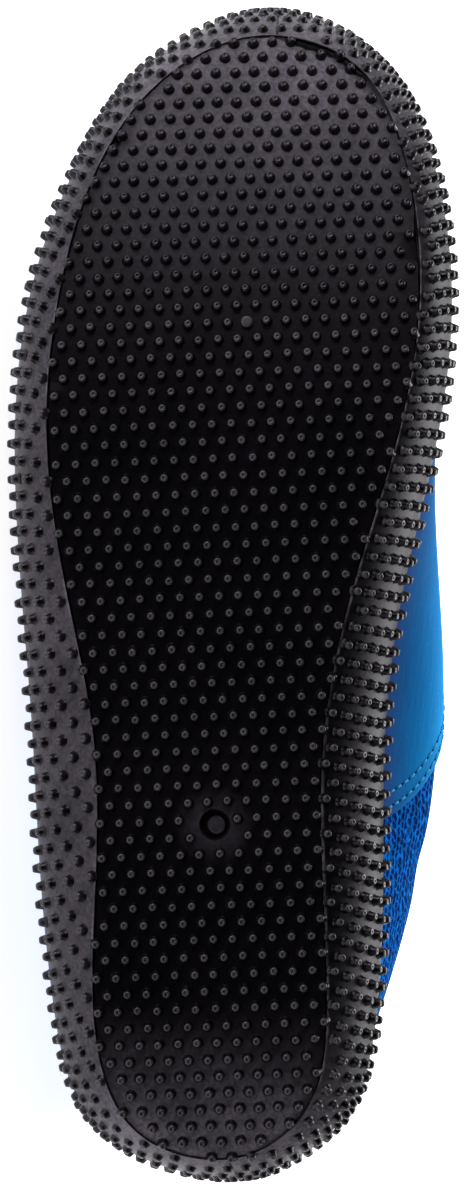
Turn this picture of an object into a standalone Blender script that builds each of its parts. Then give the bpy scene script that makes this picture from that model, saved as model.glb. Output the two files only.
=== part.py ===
"""A right water shoe that lies on its outer side, resting on the sole's edge and the upper.

Metres. The shoe is modelled standing: +X to the toe, +Y to the inner side, +Z up,
with the heel's end at x = 0 and the tread's flat spots at z = 0. An empty then lays it down.
"""

import math
from collections import namedtuple
from functools import lru_cache

import bmesh
import bpy
import numpy as np
from mathutils import Matrix, Vector
from mathutils.bvhtree import BVHTree

# Overall sizes
SOLE_LENGTH = 0.2706
SOLE_WIDTH = 0.098
INSTEP_HEIGHT = 0.080

# Sole
BASE_THICKNESS = 0.005
SIDE_HEIGHT = 0.020
SIDE_THICKNESS = 0.0024
END_EXTRA_HEIGHT = 0.0035
SIDE_START_DEG = 24.0
SIDE_END_DEG = 90.0
TREAD_HEEL_INSET = 0.0061
TREAD_TOE_INSET = 0.0079
HEEL_RISE = 0.008
HEEL_RISE_END = 0.19
ARCH_RISE = 0.0015
ARCH_START = 0.30
ARCH_END = 0.48
TOE_SPRING = 0.032
TOE_SPRING_START = 0.60
TOE_SPRING_POWER = 1.7

# Studs on the side
STUD_HEIGHT = 0.0020
STUD_PITCH = 0.00385
STUD_ROW = 0.0022

# Injection gate in the tread
GATE_X = 0.0820
GATE_Y = -0.0055
GATE_RADIUS = 0.0034
GATE_PLUG_RADIUS = 0.0020
GATE_DEPTH = 0.0008

# Upper
UPPER_WALL = 0.0020
UPPER_ROWS = 10
COLLAR_LENGTH = 0.122
COLLAR_FRONT_LENGTH = 0.034

# Pieces on and in the upper
INSOLE_THICKNESS = 0.003
PANEL_THICKNESS = 0.0010
BINDING_THICKNESS = 0.0008
BINDING_WIDTH = 0.0065
CLEARANCE = 0.0003
PANEL_CLEARANCE = 0.0004
BINDING_CLEARANCE = 0.0004
BINDING_INNER_CLEARANCE = 0.0010

# Half widths of the sole as shares of SOLE_WIDTH, at thirteen places from heel to toe
# that lie as the points of a half turn do: close together at both ends.
SoleSection = namedtuple("SoleSection", "tread_outer tread_inner side_outer side_inner")
SOLE_SECTIONS = (
    SoleSection(0.030, 0.030, 0.000, 0.000),
    SoleSection(0.185, 0.110, 0.210, 0.160),
    SoleSection(0.280, 0.205, 0.353, 0.295),
    SoleSection(0.318, 0.220, 0.415, 0.342),
    SoleSection(0.323, 0.198, 0.457, 0.343),
    SoleSection(0.345, 0.184, 0.492, 0.331),
    SoleSection(0.425, 0.230, 0.536, 0.355),
    SoleSection(0.483, 0.314, 0.565, 0.418),
    SoleSection(0.473, 0.358, 0.541, 0.441),
    SoleSection(0.415, 0.337, 0.455, 0.400),
    SoleSection(0.308, 0.273, 0.334, 0.310),
    SoleSection(0.160, 0.165, 0.165, 0.165),
    SoleSection(0.000, 0.000, 0.000, 0.000),
)

# The upper above the sole, at the same thirteen places of each level's own length.
# Widths are shares of SOLE_WIDTH, heights above the tread are shares of INSTEP_HEIGHT.
UpperSection = namedtuple(
    "UpperSection",
    "bulge_outer bulge_inner bulge_height"
    " shoulder_outer shoulder_inner shoulder_height crest_side crest_height",
)
UPPER_SECTIONS = (
    UpperSection(0.000, 0.000, 0.530, 0.000, 0.000, 0.800, 0.000, 1.430),
    UpperSection(0.165, 0.150, 0.530, 0.148, 0.138, 0.797, 0.000, 1.425),
    UpperSection(0.285, 0.275, 0.535, 0.240, 0.232, 0.792, 0.010, 1.405),
    UpperSection(0.348, 0.362, 0.545, 0.288, 0.294, 0.787, 0.022, 1.355),
    UpperSection(0.380, 0.428, 0.555, 0.315, 0.342, 0.785, 0.036, 1.270),
    UpperSection(0.400, 0.462, 0.550, 0.322, 0.364, 0.795, 0.050, 1.140),
    UpperSection(0.425, 0.440, 0.520, 0.300, 0.335, 0.765, 0.043, 0.970),
    UpperSection(0.450, 0.405, 0.460, 0.292, 0.290, 0.660, 0.018, 0.828),
    UpperSection(0.445, 0.392, 0.400, 0.288, 0.258, 0.560, -0.012, 0.702),
    UpperSection(0.385, 0.347, 0.350, 0.258, 0.232, 0.462, -0.030, 0.585),
    UpperSection(0.282, 0.258, 0.325, 0.192, 0.175, 0.400, -0.020, 0.488),
    UpperSection(0.148, 0.138, 0.318, 0.100, 0.092, 0.364, -0.010, 0.428),
    UpperSection(0.000, 0.000, 0.304, 0.000, 0.000, 0.352, 0.000, 0.402),
)

# Where each level of the upper starts at the heel and ends at the toe, as shares of SOLE_LENGTH
LevelEnds = namedtuple("LevelEnds", "heel toe")
BULGE_ENDS = LevelEnds(0.008, 0.980)
SHOULDER_ENDS = LevelEnds(0.026, 0.958)
CREST_ENDS = LevelEnds(0.050, 0.924)

# Height of the collar's edge as shares of INSTEP_HEIGHT, from the heel to the throat
CollarPoint = namedtuple("CollarPoint", "place height")
COLLAR_LINE = (
    CollarPoint(0.00, 0.945),
    CollarPoint(0.12, 0.925),
    CollarPoint(0.35, 0.800),
    CollarPoint(0.60, 0.765),
    CollarPoint(0.80, 0.800),
    CollarPoint(1.00, 0.880),
)

# Edges of the midfoot panel as shares of SOLE_LENGTH, from the sole's rim up to the crest:
# the back edge from the collar's front, the front edge from the heel
PanelEdge = namedtuple("PanelEdge", "level back front")
PANEL_EDGES = (
    PanelEdge(0.0, -0.146, 0.655),
    PanelEdge(0.5, -0.126, 0.650),
    PanelEdge(1.0, -0.076, 0.640),
    PanelEdge(1.6, -0.006, 0.625),
    PanelEdge(2.3, 0.031, 0.610),
    PanelEdge(3.0, 0.041, 0.605),
)

HALF_TURN = math.pi
FULL_TURN = 2 * math.pi


def clear_scene():
    for obj in list(bpy.data.objects):
        bpy.data.objects.remove(obj, do_unlink=True)


def collection_named(name):
    made = bpy.data.collections.new(name)
    bpy.context.scene.collection.children.link(made)
    return made


def material(name, color, roughness, coat=0.0):
    made = bpy.data.materials.new(name)
    made.use_nodes = True
    shader = made.node_tree.nodes["Principled BSDF"]
    shader.inputs["Base Color"].default_value = (*color, 1.0)
    shader.inputs["Roughness"].default_value = roughness
    shader.inputs["Metallic"].default_value = 0.0
    shader.inputs["Coat Weight"].default_value = coat
    return made


def spline_bend(knots, values):
    """Second derivatives of the natural cubic spline through values at knots."""
    count = len(knots)
    gaps = np.diff(knots)
    slopes = np.diff(values, axis=0) / gaps.reshape(-1, *([1] * (values.ndim - 1)))
    system = np.eye(count)
    right = np.zeros_like(values)
    for i in range(1, count - 1):
        system[i, i - 1] = gaps[i - 1]
        system[i, i] = 2 * (gaps[i - 1] + gaps[i])
        system[i, i + 1] = gaps[i]
        right[i] = 6 * (slopes[i] - slopes[i - 1])
    return np.linalg.solve(system, right)


def read_spline(knots, values, bend, at):
    """Points of a natural cubic spline at the places in at."""
    at = np.clip(np.atleast_1d(np.asarray(at, float)), knots[0], knots[-1])
    i = np.clip(np.searchsorted(knots, at, side="right") - 1, 0, len(knots) - 2)
    gap = knots[i + 1] - knots[i]
    after = (at - knots[i]) / gap
    before = 1 - after
    shape = (-1, *([1] * (values.ndim - 1)))
    after = after.reshape(shape)
    before = before.reshape(shape)
    gap = gap.reshape(shape)
    curved = ((before**3 - before) * bend[i] + (after**3 - after) * bend[i + 1]) * gap**2 / 6
    return before * values[i] + after * values[i + 1] + curved


def open_spline(knots, values, at):
    """Natural cubic spline through values at knots, read at the places in at."""
    knots = np.asarray(knots, float)
    values = np.asarray(values, float)
    return read_spline(knots, values, spline_bend(knots, values), at)


@lru_cache(maxsize=None)
def ring_bend(samples):
    """Second derivatives of the closed cubic spline through samples a constant angle apart."""
    count = len(samples)
    step = FULL_TURN / count
    values = np.array(samples)
    system = 4 * np.eye(count) + np.roll(np.eye(count), 1, 1) + np.roll(np.eye(count), -1, 1)
    right = 6 * (np.roll(values, 1) - 2 * values + np.roll(values, -1)) / step**2
    return np.linalg.solve(system, right)


def ring_spline(ring, turn):
    """Closed cubic spline through the values of a ring, read at the angles in turn."""
    bend = ring_bend(ring)
    samples = np.array(ring)
    count = len(samples)
    step = FULL_TURN / count
    place = np.mod(np.atleast_1d(np.asarray(turn, float)), FULL_TURN) / step
    i = np.floor(place).astype(int) % count
    k = (i + 1) % count
    after = place - np.floor(place)
    before = 1 - after
    curved = ((before**3 - before) * bend[i] + (after**3 - after) * bend[k]) * step**2 / 6
    return before * samples[i] + after * samples[k] + curved


def ring_of(outer, inner):
    """Values once round: heel, outer side, toe, inner side."""
    return tuple(outer) + tuple(inner[-2:0:-1])


def share_along(turn):
    """Share of a loop's length at an angle round it: 0 at the heel, 1 at the toe."""
    return (1 - np.cos(turn)) / 2


def half_widths(sections, outer_name, inner_name):
    """Signed y round a loop: the outer side is negative."""
    outer = [-getattr(section, outer_name) * SOLE_WIDTH for section in sections]
    inner = [getattr(section, inner_name) * SOLE_WIDTH for section in sections]
    return ring_of(outer, inner)


def tread_height(x):
    """Height of the tread over the plane of its flat spots."""
    share = np.asarray(x, float) / SOLE_LENGTH
    heel = np.clip(1 - share / HEEL_RISE_END, 0, 2)
    arch = np.clip((share - ARCH_START) / (ARCH_END - ARCH_START), 0, 1)
    toe = np.clip((share - TOE_SPRING_START) / (1 - TOE_SPRING_START), 0, 2)
    return (
        HEEL_RISE * heel**2
        + ARCH_RISE * np.sin(HALF_TURN * arch) ** 2
        + TOE_SPRING * toe**TOE_SPRING_POWER
    )


TREAD_RING = half_widths(SOLE_SECTIONS, "tread_outer", "tread_inner")
SIDE_RING = half_widths(SOLE_SECTIONS, "side_outer", "side_inner")


def side_point(turn, level):
    """Point of the sole's outer side: level 0 is the tread's edge, level 1 the rim.

    The side is an arc that leaves the tread at a low angle and ends upright.
    """
    turn, level = np.broadcast_arrays(np.asarray(turn, float), np.asarray(level, float))
    turn_flat = turn.reshape(-1)
    level_flat = level.reshape(-1)
    along = share_along(turn_flat)
    tread_length = SOLE_LENGTH - TREAD_HEEL_INSET - TREAD_TOE_INSET
    tread_x = TREAD_HEEL_INSET + tread_length * along
    tread_y = ring_spline(TREAD_RING, turn_flat)
    rim_x = SOLE_LENGTH * along
    rim_y = ring_spline(SIDE_RING, turn_flat)
    start = math.radians(SIDE_START_DEG)
    end = math.radians(SIDE_END_DEG)
    angle = start + (end - start) * level_flat
    outward = (np.sin(angle) - math.sin(start)) / (math.sin(end) - math.sin(start))
    upward = (math.cos(start) - np.cos(angle)) / (math.cos(start) - math.cos(end))
    height = SIDE_HEIGHT + END_EXTRA_HEIGHT * np.cos(turn_flat) ** 4
    points = np.stack(
        [
            tread_x + (rim_x - tread_x) * outward,
            tread_y + (rim_y - tread_y) * outward,
            tread_height(tread_x) + height * upward,
        ],
        axis=-1,
    )
    return points.reshape(*turn.shape, 3)


def unit(vectors):
    return vectors / np.linalg.norm(vectors, axis=-1, keepdims=True)


def surface_normal(function, turn, level, step=1e-3):
    """Outward normal of a surface that runs round by turn and up by level."""
    turn, level = np.broadcast_arrays(np.asarray(turn, float), np.asarray(level, float))
    round_about = function(turn + step, level) - function(turn - step, level)
    upward = function(turn, level + step) - function(turn, level - step)
    return unit(np.cross(round_about, upward))


def side_inset(turn, level, depth):
    """Point a depth inside the sole's side."""
    return side_point(turn, level) - depth * surface_normal(side_point, turn, level)


def floor_level(turn, depth, height):
    """Level at which the inset side stands a height over the tread."""
    levels = np.linspace(0, 1, 41)
    found = []
    for angle in np.atleast_1d(turn):
        points = side_inset(np.full(levels.shape, angle), levels, depth)
        found.append(np.interp(height, points[:, 2] - tread_height(points[:, 0]), levels))
    return np.array(found)


def level_ring(ends, ring, heights, turn):
    """Points of one level of the upper."""
    x = SOLE_LENGTH * (ends.heel + (ends.toe - ends.heel) * share_along(turn))
    y = ring_spline(ring, turn)
    z = tread_height(x) + ring_spline(heights, turn)
    return np.stack([x, y, z], axis=-1)


def height_ring(name):
    values = [getattr(section, name) * INSTEP_HEIGHT for section in UPPER_SECTIONS]
    return ring_of(values, values)


BULGE_RING = half_widths(UPPER_SECTIONS, "bulge_outer", "bulge_inner")
BULGE_HEIGHTS = height_ring("bulge_height")
SHOULDER_RING = half_widths(UPPER_SECTIONS, "shoulder_outer", "shoulder_inner")
SHOULDER_HEIGHTS = height_ring("shoulder_height")
CREST_SIDES = [section.crest_side * SOLE_WIDTH for section in UPPER_SECTIONS]
CREST_RING = ring_of(CREST_SIDES, CREST_SIDES)
CREST_HEIGHTS = height_ring("crest_height")
UPPER_INSET = SIDE_THICKNESS + CLEARANCE


def rib_knots(turn):
    """The points that one rib of the upper passes through, from inside the cup over the crest."""
    turn = np.array([turn, -turn])
    low = side_inset(turn, 0.7, UPPER_INSET)
    rim = side_inset(turn, 1.0, UPPER_INSET)
    bulge = level_ring(BULGE_ENDS, BULGE_RING, BULGE_HEIGHTS, turn)
    shoulder = level_ring(SHOULDER_ENDS, SHOULDER_RING, SHOULDER_HEIGHTS, turn)
    crest = level_ring(CREST_ENDS, CREST_RING, CREST_HEIGHTS, turn)
    near = [low[0], rim[0], bulge[0], shoulder[0], crest[0]]
    far = [shoulder[1], bulge[1], rim[1], low[1]]
    return np.array(near + far)


@lru_cache(maxsize=None)
def rib_curve(turn):
    """A rib's knots, their places along it and the bend of its spline."""
    knots = rib_knots(turn)
    along = np.concatenate([[0.0], np.cumsum(np.linalg.norm(np.diff(knots, axis=0), axis=1))])
    return along, knots, spline_bend(along, knots)


def rib_points(turn, levels):
    """Points of one rib: level 0 at the sole's rim, 1 bulge, 2 shoulder, 3 crest."""
    along, knots, bend = rib_curve(float(turn))
    place = np.interp(levels, np.arange(4), along[1:5])
    return read_spline(along, knots, bend, place)


def upper_point(turn, level):
    """Point of the upper's outer face over the rim."""
    turn, level = np.broadcast_arrays(np.asarray(turn, float), np.asarray(level, float))
    points = [rib_points(t, [v])[0] for t, v in zip(turn.reshape(-1), level.reshape(-1))]
    return np.array(points).reshape(*turn.shape, 3)


def crest_turn(x):
    """Angle at which the crest line passes a length."""
    ends = CREST_ENDS
    share = (np.asarray(x, float) / SOLE_LENGTH - ends.heel) / (ends.toe - ends.heel)
    return np.arccos(np.clip(1 - 2 * share, -1, 1))


def collar_height(x):
    """Height of the collar's cut at a length: the table's line, that climbs to the crest in front."""
    place = np.clip(np.asarray(x, float) / COLLAR_LENGTH, 0, 1)
    places = [point.place for point in COLLAR_LINE]
    heights = [point.height * INSTEP_HEIGHT for point in COLLAR_LINE]
    side = open_spline(places, heights, place)
    crest = level_ring(CREST_ENDS, CREST_RING, CREST_HEIGHTS, crest_turn(COLLAR_LENGTH).reshape(1))
    climb = np.clip((COLLAR_LENGTH - np.asarray(x, float)) / COLLAR_FRONT_LENGTH, 0, 1)
    return side + (crest[0, 2] - side) * (1 - climb) ** 2


THROAT_TURN = float(crest_turn(COLLAR_LENGTH))


def top_level(turn):
    """Level at which a rib ends: the crest in front of the throat, the collar's cut behind it."""
    folded = min(turn % FULL_TURN, FULL_TURN - turn % FULL_TURN)
    if folded >= THROAT_TURN - 1e-6:
        return 3.0
    levels = np.linspace(0.8, 3.0, 111)
    points = rib_points(turn, levels)
    over = points[:, 2] - collar_height(points[:, 0])
    first = int(np.argmax(over > 0))
    rise = over[first] - over[first - 1]
    return float(levels[first] - (levels[first] - levels[first - 1]) * over[first] / rise)


def rib_turns():
    """Angles of the ribs on one side, close together at the throat."""
    rear = THROAT_TURN * (1 - np.linspace(1, 0, 19) ** 1.7)
    front = THROAT_TURN + (HALF_TURN - THROAT_TURN) * np.linspace(0, 1, 18) ** 1.15
    return np.concatenate([rear, front[1:]])


def mesh_object(name, points, faces, look, group):
    mesh = bpy.data.meshes.new(name)
    mesh.from_pydata([tuple(map(float, point)) for point in points], [], faces)
    mesh.validate()
    shape = bmesh.new()
    shape.from_mesh(mesh)
    bmesh.ops.remove_doubles(shape, verts=shape.verts, dist=1e-6)
    bmesh.ops.dissolve_degenerate(shape, edges=shape.edges, dist=1e-7)
    shape.to_mesh(mesh)
    shape.free()
    mesh.shade_smooth()
    mesh.set_sharp_from_angle(angle=math.radians(40))
    mesh.materials.append(look)
    obj = bpy.data.objects.new(name, mesh)
    group.objects.link(obj)
    return obj


def grid_faces(rows, columns, closed):
    """Quads of a grid whose point (row, column) has the index row * columns + column."""
    faces = []
    for row in range(rows - 1):
        for column in range(columns if closed else columns - 1):
            after = (column + 1) % columns
            low = row * columns
            high = low + columns
            faces.append((low + column, low + after, high + after, high + column))
    return faces


def strip_faces(first, columns, upward):
    """Quads across a closed loop of an even number of columns, from its heel point to its toe point."""
    faces = []
    for column in range(columns // 2):
        face = (
            first + column,
            first + (columns - column) % columns,
            first + columns - column - 1,
            first + column + 1,
        )
        face = tuple(dict.fromkeys(face))
        faces.append(face[::-1] if upward else face)
    return faces


def solidify(obj, thickness, offset):
    modifier = obj.modifiers.new("Wall", "SOLIDIFY")
    modifier.thickness = thickness
    modifier.offset = offset
    modifier.use_even_offset = False
    modifier.use_quality_normals = True
    return modifier


def side_turns():
    """Angles of the sole's columns, one stud apart along the mean of its two sides."""
    fine = np.linspace(0, HALF_TURN, 721)
    mean = (side_point(fine, 0.6) + side_point(-fine, 0.6) * (1, -1, 1)) / 2
    length = np.concatenate([[0.0], np.cumsum(np.linalg.norm(np.diff(mean, axis=0), axis=1))])
    count = round(length[-1] / STUD_PITCH)
    half = np.interp(np.linspace(0, length[-1], count + 1), length, fine)
    return np.concatenate([half, FULL_TURN - half[-2:0:-1]])


def stud_rows():
    """Levels of the side's rows of studs, worked out from its height and flare."""
    levels = np.linspace(0, 1, 61)
    arc = side_point(np.full(levels.shape, HALF_TURN / 2), levels)
    length = np.concatenate([[0.0], np.cumsum(np.linalg.norm(np.diff(arc, axis=0), axis=1))])
    count = round(length[-1] / STUD_ROW)
    return np.linspace(0, 1, count + 1)


def make_outsole(look, group):
    """Cup sole: studded side, flat rim, inner side and floor, tread."""
    turns = side_turns()
    columns = len(turns)
    rows = []
    levels = stud_rows()
    for row, level in enumerate(levels):
        points = side_point(turns, level)
        if 0 < row < len(levels) - 1:
            peaks = (np.arange(columns) + row) % 2 == 0
            normals = surface_normal(side_point, turns, level)
            points = points + STUD_HEIGHT * peaks[:, None] * normals
        rows.append(points)
    outer_rows = len(rows)
    floor = floor_level(turns, SIDE_THICKNESS, BASE_THICKNESS)
    for share in (1.0, 0.66, 0.33, 0.0):
        rows.append(side_inset(turns, floor + (1 - floor) * share, SIDE_THICKNESS))
    rows[-1][:, 2] = tread_height(rows[-1][:, 0]) + BASE_THICKNESS
    faces = []
    for face in grid_faces(len(rows), columns, True):
        row, column = divmod(face[0], columns)
        peak_first = (row + column) % 2 == 0
        if row >= outer_rows - 1:
            faces.append(face)
        elif peak_first:
            faces.append((face[0], face[1], face[3]))
            faces.append((face[1], face[2], face[3]))
        else:
            faces.append((face[0], face[1], face[2]))
            faces.append((face[0], face[2], face[3]))
    faces += strip_faces(0, columns, False)
    faces += strip_faces((len(rows) - 1) * columns, columns, True)
    return mesh_object("outsole", np.concatenate(rows), faces, look, group)


def cut_gate(outsole, helpers):
    """Ring that the injection gate leaves in the tread."""
    profile = [
        (GATE_RADIUS, GATE_DEPTH),
        (GATE_RADIUS, -GATE_DEPTH),
        (GATE_PLUG_RADIUS, -GATE_DEPTH),
        (GATE_PLUG_RADIUS, GATE_DEPTH),
    ]
    mesh = bpy.data.meshes.new("gate_cutter")
    mesh.from_pydata([(x, 0, z) for x, z in profile], [(0, 1), (1, 2), (2, 3), (3, 0)], [])
    cutter = bpy.data.objects.new("gate_cutter", mesh)
    helpers.objects.link(cutter)
    cutter.location = (GATE_X, GATE_Y, float(tread_height(GATE_X)))
    cutter.hide_render = True
    cutter.display_type = "WIRE"
    turned = cutter.modifiers.new("Turn", "SCREW")
    turned.steps = 20
    turned.render_steps = 20
    turned.use_merge_vertices = True
    turned.merge_threshold = 1e-6
    cut = outsole.modifiers.new("Gate", "BOOLEAN")
    cut.operation = "DIFFERENCE"
    cut.solver = "EXACT"
    cut.object = cutter
    return cutter


def make_upper(look, group):
    """Hollow upper: open at the collar and underneath, its foot inside the cup."""
    half = rib_turns()
    turns = np.concatenate([half, FULL_TURN - half[-2:0:-1]])
    columns = len(turns)
    foot = floor_level(turns, UPPER_INSET, BASE_THICKNESS + CLEARANCE)
    rows = [
        side_inset(turns, foot, UPPER_INSET),
        side_inset(turns, (foot + 1) / 2, UPPER_INSET),
    ]
    climbs = np.array(
        [rib_points(turn, np.linspace(0, top_level(turn), UPPER_ROWS + 1)) for turn in turns]
    )
    rows += [climbs[:, row] for row in range(UPPER_ROWS + 1)]
    faces = grid_faces(len(rows), columns, True)
    obj = mesh_object("upper", np.concatenate(rows), faces, look, group)
    solidify(obj, UPPER_WALL, -1)
    return obj


def make_insole(look, group):
    """Foam sheet on the cup's floor, inside the upper's foot."""
    turns = side_turns()[::2]
    depth = UPPER_INSET + UPPER_WALL + CLEARANCE
    height = BASE_THICKNESS + 1.2 * CLEARANCE
    level = floor_level(turns, depth, height)
    points = side_inset(turns, level, depth)
    points[:, 2] = tread_height(points[:, 0]) + height
    obj = mesh_object("insole", points, strip_faces(0, len(turns), True), look, group)
    solidify(obj, INSOLE_THICKNESS, 1)
    return obj


def turn_at(x, level, side):
    """Angle on one side of the upper whose rib passes a length at a level."""
    turns = np.linspace(0, HALF_TURN, 181) * side
    places = np.array([rib_points(turn, [level])[0, 0] for turn in turns])
    return float(np.interp(x, places, turns * side)) * side


def make_panel(look, group):
    """Smooth saddle over both sides and the instep, cut from the upper's own surface."""
    levels = [edge.level for edge in PANEL_EDGES]
    backs = [COLLAR_LENGTH + edge.back * SOLE_LENGTH for edge in PANEL_EDGES]
    fronts = [edge.front * SOLE_LENGTH for edge in PANEL_EDGES]
    climb = np.concatenate([[0.03], np.linspace(0.25, 3, 12)])
    back = open_spline(levels, backs, climb)
    front = open_spline(levels, fronts, climb)
    across = np.linspace(0, 1, 9)
    rows = []
    for side, steps in ((1, range(len(climb))), (-1, range(len(climb) - 2, -1, -1))):
        for step in steps:
            level = climb[step]
            start = turn_at(back[step], level, side)
            end = turn_at(front[step], level, side)
            turns = start + (end - start) * across
            rows.append(np.array([panel_point(turn, level) for turn in turns]))
    faces = grid_faces(len(rows), len(across), False)
    obj = mesh_object("midfoot_panel", np.concatenate(rows), faces, look, group)
    solidify(obj, PANEL_THICKNESS, 1)
    return obj


def panel_point(turn, level):
    """Point of the upper's face moved out by the panel's clearance."""
    near = min(level, 3 - 1e-2)
    normal = surface_normal(upper_point, turn, near)
    if level > 3 - 1e-6:
        other = surface_normal(upper_point, -turn, near)
        normal = unit(normal + other)
    return rib_points(turn, [level])[0] + PANEL_CLEARANCE * normal


def upper_skin():
    """Fine copy of the upper's outer face over the rim, for finding the nearest point on it."""
    half = np.linspace(0, HALF_TURN, 161)
    turns = np.concatenate([half, FULL_TURN - half[-2:0:-1]])
    levels = np.linspace(0, 3, 61)
    columns = [rib_points(turn, levels) for turn in turns]
    points = np.array(columns).transpose(1, 0, 2).reshape(-1, 3)
    return BVHTree.FromPolygons(points.tolist(), grid_faces(len(levels), len(turns), True))


def make_binding(look, group):
    """Folded band over the collar's edge, a U in section that follows the upper's face."""
    skin = upper_skin()
    rear = [turn for turn in rib_turns() if turn <= THROAT_TURN + 1e-6]
    turns = rear + [FULL_TURN - turn for turn in rear[-2:0:-1]]
    edge = np.array([rib_points(turn, [top_level(turn)])[0] for turn in turns])
    ahead = unit(np.roll(edge, -1, axis=0) - np.roll(edge, 1, axis=0))
    outward = np.array([tuple(skin.find_nearest(point)[1]) for point in edge])
    down = unit(np.cross(ahead, outward))
    drops = [(edge, outward)]
    for drop in (BINDING_WIDTH / 2, BINDING_WIDTH):
        hits = [skin.find_nearest(point) for point in edge + down * drop]
        drops.append((np.array([tuple(hit[0]) for hit in hits]), np.array([tuple(hit[1]) for hit in hits])))
    over = BINDING_CLEARANCE + BINDING_THICKNESS
    slot = -UPPER_WALL - BINDING_INNER_CLEARANCE
    inside = slot - BINDING_THICKNESS
    section = (
        (2, 0.0, BINDING_CLEARANCE),
        (2, 0.0, over),
        (1, 0.0, over),
        (0, -over / 2, over),
        (0, -over, over / 2),
        (0, -over, slot - BINDING_THICKNESS / 2),
        (0, -over / 2, inside),
        (1, 0.0, inside),
        (2, 0.0, inside),
        (2, 0.0, slot),
        (1, 0.0, slot),
        (0, -BINDING_CLEARANCE, slot),
        (0, -BINDING_CLEARANCE, BINDING_CLEARANCE),
        (1, 0.0, BINDING_CLEARANCE),
        (2, 0.0, BINDING_CLEARANCE),
    )
    rows = [drops[at][0] + down * drop + drops[at][1] * out for at, drop, out in section]
    faces = grid_faces(len(rows), len(turns), True)
    return mesh_object("collar_binding", np.concatenate(rows), faces, look, group)


def evaluated_meshes(objects):
    bpy.context.view_layer.update()
    graph = bpy.context.evaluated_depsgraph_get()
    for obj in objects:
        evaluated = obj.evaluated_get(graph)
        mesh = evaluated.to_mesh()
        mesh.calc_loop_triangles()
        points = np.array([tuple(vertex.co) for vertex in mesh.vertices])
        triangles = np.array([tuple(loop.vertices) for loop in mesh.loop_triangles])
        evaluated.to_mesh_clear()
        yield points, triangles


def resting_matrix(objects):
    """Turn and shift that lay the shoe on its outer side, the way its outline lets it rest.

    Of the flat spots that a table could touch on that side, the shoe rests on the one
    nearest to its centre of volume. The box around it then stands centred on the origin.
    """
    clouds = []
    volume = 0.0
    moment = np.zeros(3)
    for points, triangles in evaluated_meshes(objects):
        a, b, c = (points[triangles[:, i]] for i in range(3))
        cells = np.sum(a * np.cross(b, c), axis=1) / 6
        volume += cells.sum()
        moment += np.sum((a + b + c) / 4 * cells[:, None], axis=0)
        clouds.append(points)
    centre = moment / volume
    cloud = np.concatenate(clouds)
    hull = bmesh.new()
    for point in cloud:
        hull.verts.new(point)
    bmesh.ops.convex_hull(hull, input=hull.verts)
    bmesh.ops.recalc_face_normals(hull, faces=hull.faces)
    best = None
    for face in hull.faces:
        normal = np.array(face.normal)
        corner = np.array(face.verts[0].co)
        if np.dot(normal, corner - centre) < 0:
            normal = -normal
        reach = float(np.dot(normal, corner - centre))
        sideways = -normal[1]
        if sideways > math.cos(math.radians(40)) and (best is None or reach < best[0]):
            best = (reach, normal)
    hull.free()
    up = -best[1]
    ahead = unit(np.array([1.0, 0.0, 0.0]) - up[0] * up)
    along = -ahead
    deep = np.cross(up, along)
    turned = cloud @ np.array([along, deep, up]).T
    low = turned.min(axis=0)
    high = turned.max(axis=0)
    shift = -np.array([(low[0] + high[0]) / 2, (low[1] + high[1]) / 2, low[2]])
    matrix = Matrix((along, deep, up)).to_4x4()
    matrix.translation = Vector(shift)
    return matrix


def build():
    clear_scene()
    shoe = collection_named("water_shoe")
    helpers = collection_named("cutters")
    rubber = material("black_rubber", (0.012, 0.011, 0.018), 0.42)
    knit = material("blue_knit", (0.004, 0.060, 0.330), 0.80)
    smooth = material("blue_smooth", (0.000, 0.140, 0.480), 0.28, 0.3)
    band = material("blue_binding", (0.002, 0.030, 0.140), 0.75)
    foam = material("grey_foam", (0.060, 0.062, 0.070), 0.90)
    outsole = make_outsole(rubber, shoe)
    upper = make_upper(knit, shoe)
    insole = make_insole(foam, shoe)
    panel = make_panel(smooth, shoe)
    binding = make_binding(band, shoe)
    cutter = cut_gate(outsole, helpers)
    pieces = [outsole, upper, insole, panel, binding]
    rest = bpy.data.objects.new("rest_pose", None)
    shoe.objects.link(rest)
    rest.matrix_world = resting_matrix(pieces)
    for obj in [*pieces, cutter]:
        obj.parent = rest


build()
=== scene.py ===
"""Looks of a right water shoe that lies on its outer side, seen from straight under its sole.

Metres. Every piece is worked out in the shoe's own axes, standing: +X to the toe, +Y to the
inner side, +Z up, heel end at x = 0, tread's flat spots at z = 0. lay_down then puts it at rest.
"""

import math
from collections import namedtuple

import bmesh
import bpy
import numpy as np
from mathutils import Matrix, Vector


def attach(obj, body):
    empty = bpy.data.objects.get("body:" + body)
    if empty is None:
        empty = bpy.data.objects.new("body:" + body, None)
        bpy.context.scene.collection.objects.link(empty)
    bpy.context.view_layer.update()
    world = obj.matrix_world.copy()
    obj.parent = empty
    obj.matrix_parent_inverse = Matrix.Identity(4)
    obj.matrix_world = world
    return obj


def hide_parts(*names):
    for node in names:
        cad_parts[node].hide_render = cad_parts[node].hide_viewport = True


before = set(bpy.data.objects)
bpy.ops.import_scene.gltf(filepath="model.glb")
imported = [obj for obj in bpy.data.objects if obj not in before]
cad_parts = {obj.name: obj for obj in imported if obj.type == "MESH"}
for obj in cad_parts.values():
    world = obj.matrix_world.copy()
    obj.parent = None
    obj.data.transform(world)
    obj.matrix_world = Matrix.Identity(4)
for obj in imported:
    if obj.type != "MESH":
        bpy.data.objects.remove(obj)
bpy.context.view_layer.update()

# Sole
SOLE_LENGTH = 0.2706
SOLE_WIDTH = 0.098
INSTEP_HEIGHT = 0.080
BASE_THICKNESS = 0.005
SIDE_HEIGHT = 0.020
SIDE_THICKNESS = 0.0024
END_EXTRA_HEIGHT = 0.0035
SIDE_START = math.radians(24.0)
SIDE_END = math.radians(90.0)
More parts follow.
